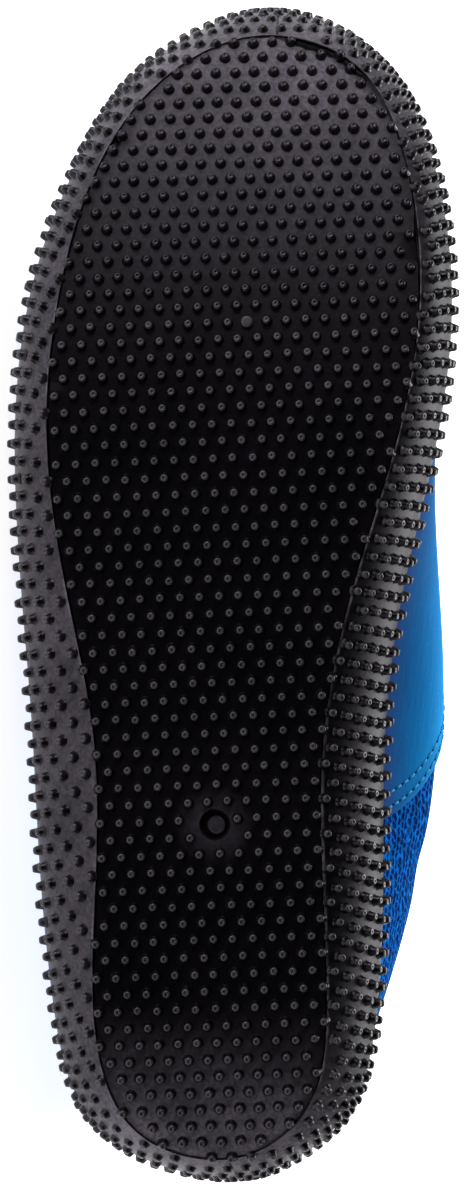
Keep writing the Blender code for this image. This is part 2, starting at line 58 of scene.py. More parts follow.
TREAD_HEEL_INSET = 0.0061
TREAD_TOE_INSET = 0.0079
TREAD_LENGTH = SOLE_LENGTH - TREAD_HEEL_INSET - TREAD_TOE_INSET
HEEL_RISE = 0.008
HEEL_RISE_END = 0.19
ARCH_RISE = 0.0015
ARCH_START = 0.30
ARCH_END = 0.48
TOE_SPRING = 0.032
TOE_SPRING_START = 0.60
TOE_SPRING_POWER = 1.7

# Studs
STUD_HEIGHT = 0.0018
STUD_RADIUS = 0.00145
STUD_ALONG = 0.00385
STUD_ACROSS = 0.00440
SIDE_SQUEEZE = 1.12
END_STRETCH = 0.42
STUD_TURN = math.radians(5.0)
SIDE_LEAN = 0.2
MOULD_SEAM_OFF = 0.0043
STUD_MARGIN = 0.0003
FLOOR_GAP = 0.0002
STUD_SHIFT = 0.00006
STUD_TILT = 0.035
STUD_SIDES = 9
WORN_STUD_SIDES = 20
LATTICE_MIDDLE = 0.13
LATTICE_REACH = 0.03
LATTICE_STEPS = 25
SIDE_REACH = 0.034
GATE_BARE_EDGE = 0.0009
WORN_STUD = (0.1938, -0.0052)

# Injection gate in the tread
GATE_X = 0.0820
GATE_Y = -0.0055
GATE_RADIUS = 0.0034
GATE_PLUG_RADIUS = 0.0020
GATE_PLUG_OFF = 0.0005
GATE_DEPTH = 0.0016

# Cloth pieces
UPPER_WALL = 0.0020
COLLAR_LENGTH = 0.122
COLLAR_FRONT_LENGTH = 0.034
INSOLE_THICKNESS = 0.003
PANEL_THICKNESS = 0.0010
BINDING_THICKNESS = 0.0008
BINDING_WIDTH = 0.0065
STITCH_PITCH = 0.0028
STITCH_ROWS = (0.0024, 0.0060)
CLEARANCE = 0.0003
PANEL_CLEARANCE = 0.0004
BINDING_CLEARANCE = 0.0004
BINDING_INNER_CLEARANCE = 0.0010
UPPER_INSET = SIDE_THICKNESS + CLEARANCE

HALF_TURN = math.pi
FULL_TURN = 2 * math.pi

# Levels of the upper's skin: 0 at the rim, 1 at the bulge, 2 at the shoulder, 3 at the crest.
# Its normals are taken a little below the crest.
CREST_LEVEL = 3.0
CREST_NORMAL_LEVEL = 2.99
BAND_NORMAL_LEVEL = 2.98

# Half widths of the sole as shares of SOLE_WIDTH, at thirteen places from heel to toe
# that lie as the points of a half turn do: close together at both ends.
SoleSection = namedtuple("SoleSection", "tread_outer tread_inner side_outer side_inner")
SOLE_SECTIONS = [SoleSection(*row) for row in (
    (0.030, 0.030, 0.000, 0.000),
    (0.185, 0.110, 0.210, 0.160),
    (0.280, 0.205, 0.353, 0.295),
    (0.318, 0.220, 0.415, 0.342),
    (0.323, 0.198, 0.457, 0.343),
    (0.345, 0.184, 0.492, 0.331),
    (0.425, 0.230, 0.536, 0.355),
    (0.483, 0.314, 0.565, 0.418),
    (0.473, 0.358, 0.541, 0.441),
    (0.415, 0.337, 0.455, 0.400),
    (0.308, 0.273, 0.334, 0.310),
    (0.160, 0.165, 0.165, 0.165),
    (0.000, 0.000, 0.000, 0.000),
)]

# The upper above the sole at the same places. Widths are shares of SOLE_WIDTH,
# heights above the tread are shares of INSTEP_HEIGHT.
UpperSection = namedtuple(
    "UpperSection",
    "bulge_outer bulge_inner bulge_height"
    " shoulder_outer shoulder_inner shoulder_height crest_side crest_height",
)
UPPER_SECTIONS = [UpperSection(*row) for row in (
    (0.000, 0.000, 0.530, 0.000, 0.000, 0.800, 0.000, 1.430),
    (0.165, 0.150, 0.530, 0.148, 0.138, 0.797, 0.000, 1.425),
    (0.285, 0.275, 0.535, 0.240, 0.232, 0.792, 0.010, 1.405),
    (0.348, 0.362, 0.545, 0.288, 0.294, 0.787, 0.022, 1.355),
    (0.380, 0.428, 0.555, 0.315, 0.342, 0.785, 0.036, 1.270),
    (0.400, 0.462, 0.550, 0.322, 0.364, 0.795, 0.050, 1.140),
    (0.425, 0.440, 0.520, 0.300, 0.335, 0.765, 0.043, 0.970),
    (0.450, 0.405, 0.460, 0.292, 0.290, 0.660, 0.018, 0.828),
    (0.445, 0.392, 0.400, 0.288, 0.258, 0.560, -0.012, 0.702),
    (0.385, 0.347, 0.350, 0.258, 0.232, 0.462, -0.030, 0.585),
    (0.282, 0.258, 0.325, 0.192, 0.175, 0.400, -0.020, 0.488),
    (0.148, 0.138, 0.318, 0.100, 0.092, 0.364, -0.010, 0.428),
    (0.000, 0.000, 0.304, 0.000, 0.000, 0.352, 0.000, 0.402),
)]
LevelEnds = namedtuple("LevelEnds", "heel toe")
BULGE_ENDS = LevelEnds(0.008, 0.980)
SHOULDER_ENDS = LevelEnds(0.026, 0.958)
CREST_ENDS = LevelEnds(0.050, 0.924)

# Height of the collar's edge as shares of INSTEP_HEIGHT, from the heel to the throat
CollarPoint = namedtuple("CollarPoint", "place height")
COLLAR_LINE = [CollarPoint(*row) for row in (
    (0.00, 0.945),
    (0.12, 0.925),
    (0.35, 0.800),
    (0.60, 0.765),
    (0.80, 0.800),
    (1.00, 0.880),
)]

# Edges of the midfoot panel as shares of SOLE_LENGTH, from the rim up to the crest
PanelEdge = namedtuple("PanelEdge", "level back front")
PANEL_EDGES = [PanelEdge(*row) for row in (
    (0.0, -0.146, 0.655),
    (0.5, -0.126, 0.650),
    (1.0, -0.076, 0.640),
    (1.6, -0.006, 0.625),
    (2.3, 0.031, 0.610),
    (3.0, 0.041, 0.605),
)]

# Soft creases of the cloth: each a line between two places on the skin, given by the length
# from the heel and the level, with its side, its half width and its depth (below 0, a ridge).
Crease = namedtuple("Crease", "side x0 level0 x1 level1 width depth")
CREASES = [Crease(*row) for row in (
    (1, 0.176, 0.9, 0.186, 2.9, 0.0045, 0.0011),
    (1, 0.198, 0.8, 0.205, 2.6, 0.0050, 0.0008),
    (-1, 0.172, 1.0, 0.184, 2.9, 0.0048, 0.0010),
    (-1, 0.196, 0.9, 0.204, 2.7, 0.0050, 0.0008),
    (1, 0.030, 1.2, 0.060, 1.5, 0.0060, 0.0012),
    (-1, 0.028, 1.2, 0.058, 1.5, 0.0060, 0.0010),
    (1, 0.066, 0.7, 0.080, 1.9, 0.0050, 0.0008),
    (-1, 0.070, 0.8, 0.084, 1.8, 0.0050, 0.0008),
    (1, 0.012, 0.6, 0.040, 0.5, 0.0040, 0.0007),
)]

# How the shoe lies: the floor's upward direction in the shoe's axes, and the shift after turning
REST_UP = (0.0327344, 0.9069945, -0.4198684)
REST_SHIFT = (0.13574, -0.02993, 0.05388)

# Middle of the shoe, which the lights face
SHOE_MIDDLE = (0.135, 0.0, 0.02)

# Camera: straight under the sole, its picture turned a little against the shoe's length
CAMERA_AIM = (0.1325, -0.0040, 0.0)
CAMERA_DISTANCE = 1.1
CAMERA_ROLL = math.radians(2.7)
PHOTO_FOCAL = 4906
PHOTO_HEIGHT = 1200
SENSOR_WIDTH_MM = 36.0

# Room: brightness beyond one angle and within another from the tread's own direction, and
# the share left towards the inner side, with the cosines between which it fades
ROOM_BRIGHT = 1.25
ROOM_DARK = 0.0
ROOM_BRIGHT_FROM_DEG = 72.0
ROOM_DARK_TO_DEG = 40.0
ROOM_INNER_SHARE = 0.25
ROOM_SIDE_FADE = (-0.3, 0.6)


def unit(vectors):
    """Each vector divided by its length."""
    return vectors / np.linalg.norm(vectors, axis=-1, keepdims=True)


REST_AXIS_UP = unit(np.array(REST_UP))
REST_AXIS_ALONG = -unit(np.array([1.0, 0.0, 0.0]) - REST_AXIS_UP[0] * REST_AXIS_UP)
REST_AXIS_DEEP = np.cross(REST_AXIS_UP, REST_AXIS_ALONG)
REST_AXES = np.array([REST_AXIS_ALONG, REST_AXIS_DEEP, REST_AXIS_UP])


def lay_down(points):
    """Shoe axes to the rest pose: turned by the three rest axes, then shifted."""
    return np.asarray(points) @ REST_AXES.T + np.array(REST_SHIFT)


def as_pair(turn, level):
    """Both as numbers of one shape."""
    return np.broadcast_arrays(np.asarray(turn, float), np.asarray(level, float))


def ramp(values, start, end):
    """0 up to start, 1 from end on and a straight climb between them."""
    return np.clip((values - start) / (end - start), 0, 1)


def smooth_step(share):
    """Share of the way from 0 to 1 with soft ends: three squares less two cubes."""
    return share**2 * (3 - 2 * share)


def running_length(points, axis):
    """Length run along an axis of a grid of points, from 0."""
    steps = np.linalg.norm(np.diff(points, axis=axis), axis=-1)
    pad = [(0, 0)] * steps.ndim
    pad[axis] = (1, 0)
    return np.pad(np.cumsum(steps, axis=axis), pad)


def spline_bend(knots, values):
    """Second derivatives of natural cubic splines, one for each row of knots, from the usual
    three-term system: gap before, twice both gaps, gap after, against the change of slope."""
    gaps = np.diff(knots, axis=1)
    slopes = np.diff(values, axis=1) / gaps[..., None]
    count = knots.shape[1]
    inner = np.arange(1, count - 1)
    system = np.zeros((len(knots), count, count))
    system[:, 0, 0] = 1
    system[:, -1, -1] = 1
    system[:, inner, inner - 1] = gaps[:, :-1]
    system[:, inner, inner] = 2 * (gaps[:, :-1] + gaps[:, 1:])
    system[:, inner, inner + 1] = gaps[:, 1:]
    right = np.zeros_like(values)
    right[:, 1:-1] = 6 * np.diff(slopes, axis=1)
    return np.linalg.solve(system, right)


def cubic(before, after, first, second, bends, gap):
    """A spline between two knots: the straight mix of their values plus the cubic terms."""
    curved = (before**3 - before) * bends[0] + (after**3 - after) * bends[1]
    return before * first + after * second + curved * gap**2 / 6


def read_spline(knots, values, bend, at):
    """One point on each row's spline."""
    place = np.clip(at, knots[:, 0], knots[:, -1])
    i = np.clip((knots <= place[:, None]).sum(axis=1) - 1, 0, knots.shape[1] - 2)
    row = np.arange(len(knots))
    gap = (knots[row, i + 1] - knots[row, i])[:, None]
    after = (place - knots[row, i])[:, None] / gap
    bends = bend[row, i], bend[row, i + 1]
    return cubic(1 - after, after, values[row, i], values[row, i + 1], bends, gap)


def open_curve(knots, values, at):
    """Natural cubic spline through single values, read at the places in at."""
    at = np.asarray(at, float)
    knots = np.asarray(knots, float)[None]
    values = np.asarray(values, float)[None, :, None]
    bend = spline_bend(knots, values)
    count = at.size
    knots, values, bend = (np.repeat(part, count, axis=0) for part in (knots, values, bend))
    return read_spline(knots, values, bend, at.reshape(-1))[:, 0].reshape(at.shape)


def closed_curve(samples, turn):
    """Closed cubic spline through samples a constant angle apart, read at the angles in turn."""
    samples = np.asarray(samples, float)
    count = len(samples)
    step = FULL_TURN / count
    system = 4 * np.eye(count) + np.roll(np.eye(count), 1, 1) + np.roll(np.eye(count), -1, 1)
    right = 6 * (np.roll(samples, 1) - 2 * samples + np.roll(samples, -1)) / step**2
    bend = np.linalg.solve(system, right)
    place = np.mod(turn, FULL_TURN) / step
    i = np.floor(place).astype(int) % count
    k = (i + 1) % count
    after = place - np.floor(place)
    return cubic(1 - after, after, samples[i], samples[k], (bend[i], bend[k]), step)


def ring_of(outer, inner):
    """Values once round a loop: heel, outer side, toe, inner side."""
    return np.array(list(outer) + list(inner[-2:0:-1]))


def column_of(sections, name, size):
    """One column of a table of shares, times the size that they are shares of."""
    return [getattr(section, name) * size for section in sections]


def width_ring(sections, name):
    """Sides of a loop from its two columns of half widths, the outer side below 0."""
    return ring_of(column_of(sections, name + "_outer", -SOLE_WIDTH),
                   column_of(sections, name + "_inner", SOLE_WIDTH))


def even_ring(name, size):
    """Values of a loop that are the same on its two sides."""
    column = column_of(UPPER_SECTIONS, name, size)
    return ring_of(column, column)


TREAD_RING = width_ring(SOLE_SECTIONS, "tread")
SIDE_RING = width_ring(SOLE_SECTIONS, "side")
BULGE_RING = width_ring(UPPER_SECTIONS, "bulge")
SHOULDER_RING = width_ring(UPPER_SECTIONS, "shoulder")
CREST_RING = even_ring("crest_side", SOLE_WIDTH)
BULGE_HEIGHTS = even_ring("bulge_height", INSTEP_HEIGHT)
SHOULDER_HEIGHTS = even_ring("shoulder_height", INSTEP_HEIGHT)
CREST_HEIGHTS = even_ring("crest_height", INSTEP_HEIGHT)


def share_along(turn):
    """Share of a loop's length at an angle: half of one minus its cosine."""
    return (1 - np.cos(turn)) / 2


def tread_height(x):
    """Tread's height: a square rise at the heel, a sine bump at the arch, a power at the toe."""
    share = np.asarray(x, float) / SOLE_LENGTH
    heel = np.clip(1 - share / HEEL_RISE_END, 0, 2)
    arch = ramp(share, ARCH_START, ARCH_END)
    toe = np.clip((share - TOE_SPRING_START) / (1 - TOE_SPRING_START), 0, 2)
    bump = ARCH_RISE * np.sin(HALF_TURN * arch) ** 2
    return HEEL_RISE * heel**2 + bump + TOE_SPRING * toe**TOE_SPRING_POWER


def side_point(turn, level):
    """Sole's outer side: an arc from the tread's edge, level 0, that stands upright at the rim."""
    turn, level = as_pair(turn, level)
    along = share_along(turn)
    tread_x = TREAD_HEEL_INSET + TREAD_LENGTH * along
    tread_y = closed_curve(TREAD_RING, turn)
    rim_x = SOLE_LENGTH * along
    rim_y = closed_curve(SIDE_RING, turn)
    angle = SIDE_START + (SIDE_END - SIDE_START) * level
    sines = math.sin(SIDE_START), math.sin(SIDE_END)
    cosines = math.cos(SIDE_START), math.cos(SIDE_END)
    outward = (np.sin(angle) - sines[0]) / (sines[1] - sines[0])
    upward = (cosines[0] - np.cos(angle)) / (cosines[0] - cosines[1])
    height = SIDE_HEIGHT + END_EXTRA_HEIGHT * np.cos(turn) ** 4
    x = tread_x + (rim_x - tread_x) * outward
    y = tread_y + (rim_y - tread_y) * outward
    return np.stack([x, y, tread_height(tread_x) + height * upward], axis=-1)


def normal_of(surface, turn, level, step=1e-3):
    """Outward normal: the cross product of the steps round and up."""
    turn, level = as_pair(turn, level)
    round_about = surface(turn + step, level) - surface(turn - step, level)
    upward = surface(turn, level + step) - surface(turn, level - step)
    return unit(np.cross(round_about, upward))


def side_inset(turn, level, depth):
    """Point a depth inside the sole's side."""
    return side_point(turn, level) - depth * normal_of(side_point, turn, level)


def crossing(ladder, over):
    """Where on an even ladder each row of values first passes 0, on the straight line there."""
    first = np.clip(np.argmax(over > 0, axis=1), 1, None)
    row = np.arange(len(over))
    low, high = over[row, first - 1], over[row, first]
    return ladder[first] - (ladder[1] - ladder[0]) * high / np.where(high == low, 1, high - low)


def floor_level(turn, depth, height):
    """Level at which the inset side stands a height over the tread, found on a fine ladder."""
    ladder = np.linspace(0, 1, 81)
    points = side_inset(turn[:, None], ladder[None], depth)
    return crossing(ladder, points[..., 2] - tread_height(points[..., 0]) - height)


def level_loop(ends, ring, heights, turn):
    """Points of one level of the upper: length from the angle, side and height from rings."""
    x = SOLE_LENGTH * (ends.heel + (ends.toe - ends.heel) * share_along(turn))
    z = tread_height(x) + closed_curve(heights, turn)
    return np.stack([x, closed_curve(ring, turn), z], -1)


def crest_loop(turn):
    """Points of the crest, the upper's highest line."""
    return level_loop(CREST_ENDS, CREST_RING, CREST_HEIGHTS, turn)


def skin_plain(turn, level):
    """Upper's outer face without creases: over each angle, a natural cubic spline from inside
    the cup over rim, bulge, shoulder and crest and down the other side."""
    turn, level = as_pair(turn, level)
    shape = turn.shape
    turn, level = turn.reshape(-1), level.reshape(-1)
    near, far = ([
        side_inset(way, 0.7, UPPER_INSET),
        side_inset(way, 1.0, UPPER_INSET),
        level_loop(BULGE_ENDS, BULGE_RING, BULGE_HEIGHTS, way),
        level_loop(SHOULDER_ENDS, SHOULDER_RING, SHOULDER_HEIGHTS, way),
    ] for way in (turn, -turn))
    knots = np.stack([*near, crest_loop(turn), *far[::-1]], axis=1)
    along = running_length(knots, 1)
    step = np.clip(np.floor(level).astype(int), 0, 2)
    row = np.arange(len(turn))
    start = along[row, step + 1]
    place = start + (level - step) * (along[row, step + 2] - start)
    return read_spline(along, knots, spline_bend(along, knots), place).reshape(*shape, 3)


THROAT_TURN = float(np.arccos(1 - 2 * (COLLAR_LENGTH / SOLE_LENGTH - CREST_ENDS.heel)
                              / (CREST_ENDS.toe - CREST_ENDS.heel)))


def collar_height(x):
    """Height of the collar's cut at a length: the table's line, climbing to the crest in front."""
    places, heights = np.array(COLLAR_LINE).T
    side = open_curve(places, heights * INSTEP_HEIGHT, ramp(x, 0, COLLAR_LENGTH))
    crest = crest_loop(np.array([THROAT_TURN]))[0, 2]
    return side + (crest - side) * ramp(x, COLLAR_LENGTH - COLLAR_FRONT_LENGTH, COLLAR_LENGTH) ** 2


def top_level(turn):
    """Level at which a rib ends: the crest before the throat, the collar's cut behind it."""
    turn = np.asarray(turn, float)
    folded = np.minimum(turn % FULL_TURN, FULL_TURN - turn % FULL_TURN)
    ladder = np.linspace(0.8, CREST_LEVEL, 111)
    points = skin_plain(turn[:, None], ladder[None])
    cut = crossing(ladder, points[..., 2] - collar_height(points[..., 0]))
    return np.where(folded >= THROAT_TURN - 1e-6, CREST_LEVEL, cut)


def turn_at(x, level, side):
    """Angle on one side whose rib passes a length at a level, read off a fine ladder of angles."""
    x, level = as_pair(x, level)
    ladder = np.linspace(0, HALF_TURN, 241) * side
    places = skin_plain(ladder[None], level.reshape(-1)[:, None])[..., 0]
    found = [np.interp(a, row, np.abs(ladder)) for a, row in zip(x.reshape(-1), places)]
    return np.array(found).reshape(x.shape) * side


def skin_at(x, level, side):
    """Place on the plain skin at a length, a level and a side."""
    levels = np.array([level])
    return skin_plain(turn_at(x, levels, side), levels)[0]


CREASE_LINES = [
    (skin_at(c.x0, c.level0, c.side), skin_at(c.x1, c.level1, c.side), c.width, c.depth)
    for c in CREASES
]


def crease_depth(points):
    """Sum over the creases of depth times a bell curve of the distance to the crease."""
    total = np.zeros(points.shape[:-1])
    for start, end, width, depth in CREASE_LINES:
        way = end - start
        share = np.clip(((points - start) @ way) / (way @ way), 0, 1)
        gap = np.linalg.norm(points - start - share[..., None] * way, axis=-1)
        total += depth * np.exp(-((gap / width) ** 2))
    return total


def skin(turn, level, lift=0.0):
    """Upper's outer face with its creases, moved out by lift."""
    points = skin_plain(turn, level)
    shown = np.minimum(np.broadcast_to(level, points.shape[:-1]), CREST_NORMAL_LEVEL)
    normal = normal_of(skin_plain, turn, shown)
    move = lift - crease_depth(points)
    return points + normal * np.asarray(move)[..., None]


def grid_corners(rows, columns, closed):
    """Corner numbers of a grid's quads, and the same in a table with one column more."""
    wide = columns + 1 if closed else columns
    r, c = np.meshgrid(np.arange(rows - 1), np.arange(wide - 1), indexing="ij")
    rows_of = [r, r, r + 1, r + 1]
    columns_of = [c, c + 1, c + 1, c]
    corners = [row * columns + column % columns for row, column in zip(rows_of, columns_of)]
    table = [row * wide + column for row, column in zip(rows_of, columns_of)]
    return np.stack(corners, -1).reshape(-1, 4), np.stack(table, -1).reshape(-1, 4)


def ring_closed(grid):
    """A grid with its first column once more at its end."""
    return np.concatenate([grid, grid[:, :1]], axis=1)


def flat_lengths(grid, row):
    """Flat coordinates of a closed grid: length round it along one row, and down each column."""
    grid = ring_closed(grid)
    around = running_length(grid[row : row + 1], 1)
    return np.stack([np.broadcast_to(around, grid.shape[:2]), running_length(grid, 0)], -1)


def make_piece(name, grid, closed, flat, looks, recalculate=True):
    """One mesh from a grid of points and its flat coordinates."""
    corners, table = grid_corners(*grid.shape[:2], closed)
    mesh = bpy.data.meshes.new(name)
    mesh.from_pydata(lay_down(grid.reshape(-1, 3)).tolist(), [], corners.tolist())
    layer = mesh.uv_layers.new(name="flat")
    layer.data.foreach_set("uv", flat.reshape(-1, 2)[table].astype(np.float32).ravel())
    for look in looks:
        mesh.materials.append(look)
    shape = bmesh.new()
    shape.from_mesh(mesh)
    bmesh.ops.remove_doubles(shape, verts=shape.verts, dist=2e-6)
    bmesh.ops.dissolve_degenerate(shape, edges=shape.edges, dist=1e-7)
    if recalculate:
        bmesh.ops.recalc_face_normals(shape, faces=shape.faces)
    shape.to_mesh(mesh)
    shape.free()
    mesh.shade_smooth()
    return link(name, mesh)


def new_object(name, data):
    """An object of the data, in the scene."""
    obj = bpy.data.objects.new(name, data)
    bpy.context.scene.collection.objects.link(obj)
    return obj


def link(name, mesh):
    """A piece that rides on the shoe's one body."""
    obj = new_object(name, mesh)
    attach(obj, "root")
    return obj


def pins(name, bases, axes, profile, sides, look, strength=1.0, tall=1.0):
    """Many small turned forms in one mesh: ring r, side s of a pin lies at its base plus
    radius r times (cosine, sine) across its axis plus height r along it, the heights times the
    pin's tall. The last ring is a point.
    The tip attribute is a point's share of the height, times the pin's strength."""
    count = len(bases)
    rise = axes * np.broadcast_to(tall, (count,))[:, None]
    helper = np.where(np.abs(axes[:, :1]) < 0.8, [[1.0, 0, 0]], [[0, 1.0, 0]])
    across = unit(np.cross(axes, helper))
    aside = np.cross(axes, across)
    angle = (np.arange(sides) / sides * FULL_TURN)[None, :, None]
    way = across[:, None] * np.cos(angle) + aside[:, None] * np.sin(angle)
    radii, heights = profile[:-1].T
    rings = (bases[:, None, None] + way[:, None] * radii[None, :, None, None]
             + rise[:, None, None] * heights[None, :, None, None])
    tips = bases + rise * profile[-1, 1]
    levels = len(radii)
    points = np.concatenate([rings.reshape(count, -1, 3), tips[:, None]], axis=1)
    corners, _ = grid_corners(levels, sides, True)
    last = (levels - 1) * sides
    s = np.arange(sides)
    caps = np.stack([last + s, last + (s + 1) % sides, np.full(sides, levels * sides)], -1)
    shift = (np.arange(count) * points.shape[1])[:, None, None]
    quads = (corners[None] + shift).reshape(-1, 4)
    caps = (caps[None] + shift).reshape(-1, 3)
    mesh = bpy.data.meshes.new(name)
    mesh.from_pydata(lay_down(points.reshape(-1, 3)).tolist(), [], quads.tolist() + caps.tolist())
    top = profile[:, 1].max()
    share = np.concatenate([np.repeat(heights / top, sides), [profile[-1, 1] / top]])
    tip = mesh.attributes.new("tip", "FLOAT", "POINT")
    strength = np.broadcast_to(strength, (count,))
    tip.data.foreach_set("value", (strength[:, None] * share).astype(np.float32).ravel())
    mesh.materials.append(look)
    mesh.shade_smooth()
    return link(name, mesh)


def both_sides(half):
    """Angles all round from those of the outer side, from heel to toe."""
    return np.concatenate([half, FULL_TURN - half[-2:0:-1]])


def side_turns(share=1):
    """Angles of the sole's columns of studs, STUD_ALONG apart along the mean of its two sides,
    each step cut into share parts."""
    fine = np.linspace(0, HALF_TURN, 721)
    mean = (side_point(fine, 0.6) + side_point(-fine, 0.6) * (1, -1, 1)) / 2
    length = running_length(mean, 0)
    count = round(length[-1] / STUD_ALONG) * share
    return both_sides(np.interp(np.linspace(0, length[-1], count + 1), length, fine))


# Materials

RUBBER_GLEAM = (0.96, 0.88, 1.0)
CLOTH_GLEAM = (0.10, 0.60, 1.0)
CLOTH_SHINE = 0.008
GRAIN_DEPTH = 0.0002
# Widths over which the seam layer darkens: mould seams, and painted shade in the torn groove
SEAM_AND_GAP_SHADE_LINE = (0.00012, 0.00038)
STREAK_SCALE = (110.0, 1500.0, 1.0)
FINE_SCALE = 1500.0
# Distances up from the foot over which the painted shade at the foot fades
FOOT_SHADE_FADE = (0.002, 0.036)
KNIT_WOBBLE = 2.4


class Tree:
    """Nodes of a material or world. A socket is given a number, a colour or an output."""

    def __init__(self, owner):
        owner.use_nodes = True
        self.owner = owner
        self.nodes = owner.node_tree.nodes
        self.links = owner.node_tree.links

    def give(self, made, values):
        """Set or link a node's sockets, each by its name or number."""
        for key, value in values.items():
            if isinstance(value, bpy.types.NodeSocket):
                self.links.new(value, made.inputs[key])
            else:
                made.inputs[key].default_value = value

    def add(self, kind, *values, out=0, **settings):
        """New node: settings are its own or its sockets' by name, values its first sockets'.
        Gives back one output, or several where out is a tuple."""
        made = self.nodes.new("ShaderNode" + kind)
        for key, value in settings.items():
            if key in made.inputs:
                self.give(made, {key: value})
            else:
                setattr(made, key, value)
        self.give(made, dict(enumerate(values)))
        if isinstance(out, tuple):
            return [made.outputs[key] for key in out]
        return made.outputs[out]

    def math(self, operation, *values):
        """A sum of numbers or outputs."""
        return self.add("Math", *values, operation=operation)

    def span(self, source, low, high, to_low, to_high, smooth=False):
        """Source from low to high becomes to_low to to_high."""
        ends = {"From Min": low, "From Max": high, "To Min": to_low, "To Max": to_high}
        kind = "SMOOTHSTEP" if smooth else "LINEAR"
        return self.add("MapRange", source, interpolation_type=kind, **ends)

    def mix(self, first, second, factor):
        """From the first colour at factor 0 to the second at 1."""
        colours = {"A": (*first, 1), "B": (*second, 1)}
        return self.add("Mix", data_type="RGBA", out="Result", **colours, Factor=factor)

    def scaled(self, colour, *factors):
        """Colour times every factor."""
        for factor in factors:
            colour = self.add("VectorMath", colour, operation="SCALE", Scale=factor)
        return colour

    def dressed(self, colour, rough, shine, gleam, height, strength, depth):
        """The material, its shader given colour, gloss and bump."""
        self.give(self.nodes["Principled BSDF"], {
            "Base Color": colour,
            "Roughness": rough,
            "Specular IOR Level": shine,
            "Specular Tint": (*gleam, 1),
            "Normal": self.add("Bump", Strength=strength, Distance=depth, Height=height),
        })
        return self.owner


def rubber_noises(name):
    """Tree of a new rubber with its two noises, clouds and fine grain."""
    tree = Tree(bpy.data.materials.new(name))
    place = tree.add("TexCoord", out="Object")
    cloud = tree.add("TexNoise", place, Scale=60.0, Detail=5.0, Roughness=0.62)
    grain = tree.add("TexNoise", place, Scale=1100.0, Detail=3.0, Roughness=0.6)
    return tree, cloud, grain


def rubber_dressed(tree, colour, cloud, grain, rough, shine):
    """Moulded rubber: gloss uneven by the clouds, bump by the grain."""
    gloss = tree.span(cloud, 0.0, 1.0, rough - 0.07, rough + 0.09)
    return tree.dressed(colour, gloss, shine, RUBBER_GLEAM, grain, 0.35, GRAIN_DEPTH)


def ground_rubber(name, clean, dust_and_sheen_tone, rough, shine):
    """Rubber between the studs: the flat layer's second value is dust and painted sheen, which
    makes the rubber paler; its first is the distance to a mould seam, drawn as a thin dark line,
    and in the groove a value that is small only where the groove is torn open, painted shade in
    the gap. The gate's plug and the ground round the gate are dustier."""
    tree, cloud, grain = rubber_noises(name)
    beside, dust_and_sheen = tree.add("SeparateXYZ", tree.add("UVMap", uv_map="flat"), out=("X", "Y"))
    gate = lay_down((GATE_X, GATE_Y, float(tread_height(GATE_X))))
    place = tree.add("TexCoord", out="Object")
    away = tree.add("VectorMath", place, gate, operation="DISTANCE", out="Value")
    plug = tree.span(away, GATE_PLUG_RADIUS, GATE_PLUG_RADIUS + 0.0004, 0.22, 0.0)
    lip = tree.span(away, GATE_RADIUS, GATE_RADIUS + 0.0002, 0.0, 0.16)
    fading = tree.span(away, GATE_RADIUS + 0.0005, GATE_RADIUS + 0.006, 1.0, 0.0)
    dust_and_sheen = tree.math("ADD", dust_and_sheen, tree.math("MULTIPLY_ADD", lip, fading, plug))
    # Dark on the mould seams, and in the torn gaps of the groove as painted shade
    seam_and_gap_shade = tree.span(tree.math("ABSOLUTE", beside), *SEAM_AND_GAP_SHADE_LINE, 0.06, 1.0, smooth=True)
    mottle = tree.span(cloud, 0.25, 0.75, 0.55, 1.45)
    speck = tree.span(grain, 0.30, 0.70, 0.55, 1.45)
    # Paler where the flat layer says so: dust, and painted sheen on the tread's turned-up ends and
    # on the walls
    colour = tree.scaled(tree.mix(clean, dust_and_sheen_tone, dust_and_sheen), mottle, seam_and_gap_shade, speck)
    return rubber_dressed(tree, colour, cloud, grain, rough, shine)


def stud_rubber(name, body, tip, rough, shine):
    """Rubber of the studs: dark body, greyer tip by the tip attribute, partly wear and partly a
    painted highlight on the ring round the tip's pit.
    """
    tree, cloud, grain = rubber_noises(name)
    share = tree.add("Attribute", attribute_name="tip", out="Fac")
    worn_and_highlit = tree.mix(body, tip, tree.span(share, 0.66, 1.0, 0.0, 1.0, smooth=True))
    colour = tree.scaled(worn_and_highlit, tree.span(cloud, 0.25, 0.75, 0.6, 1.4))
    return rubber_dressed(tree, colour, cloud, grain, rough, shine)


def smooth_cloth(name, colour, rough, shine, foot=None, flat_layer=True):
    """Smooth coated cloth: one colour with faint long streaks and fine pale flecks, and another
    at its foot, where the flat layer's second value is 0; a dark foot colour is painted shade. A
    piece that has no flat layer takes its own axes."""
    tree = Tree(bpy.data.materials.new(name))
    if flat_layer:
        place = tree.add("UVMap", uv_map="flat")
    else:
        place = tree.add("TexCoord", out="Object")
    stretched = tree.add("Mapping", place, Scale=STREAK_SCALE)
    streak = tree.add("TexNoise", stretched, Scale=1.0, Detail=4.0)
    fleck = tree.add("TexNoise", place, Scale=FINE_SCALE, Detail=2.0)
    # Painted shade: from the foot colour at the foot to the main colour higher up
    climb = tree.span(tree.add("SeparateXYZ", place, out="Y"), *FOOT_SHADE_FADE, 0.0, 1.0)
    tint = tree.scaled(
        tree.mix(foot or colour, colour, climb),
        tree.span(streak, 0.25, 0.75, 0.78, 1.18),
        tree.span(fleck, 0.62, 0.80, 1.0, 1.9, smooth=True),
    )
    gloss = tree.span(streak, 0.0, 1.0, rough - 0.08, rough + 0.08)
    return tree.dressed(tint, gloss, shine, CLOTH_GLEAM, streak, 0.2, GRAIN_DEPTH)


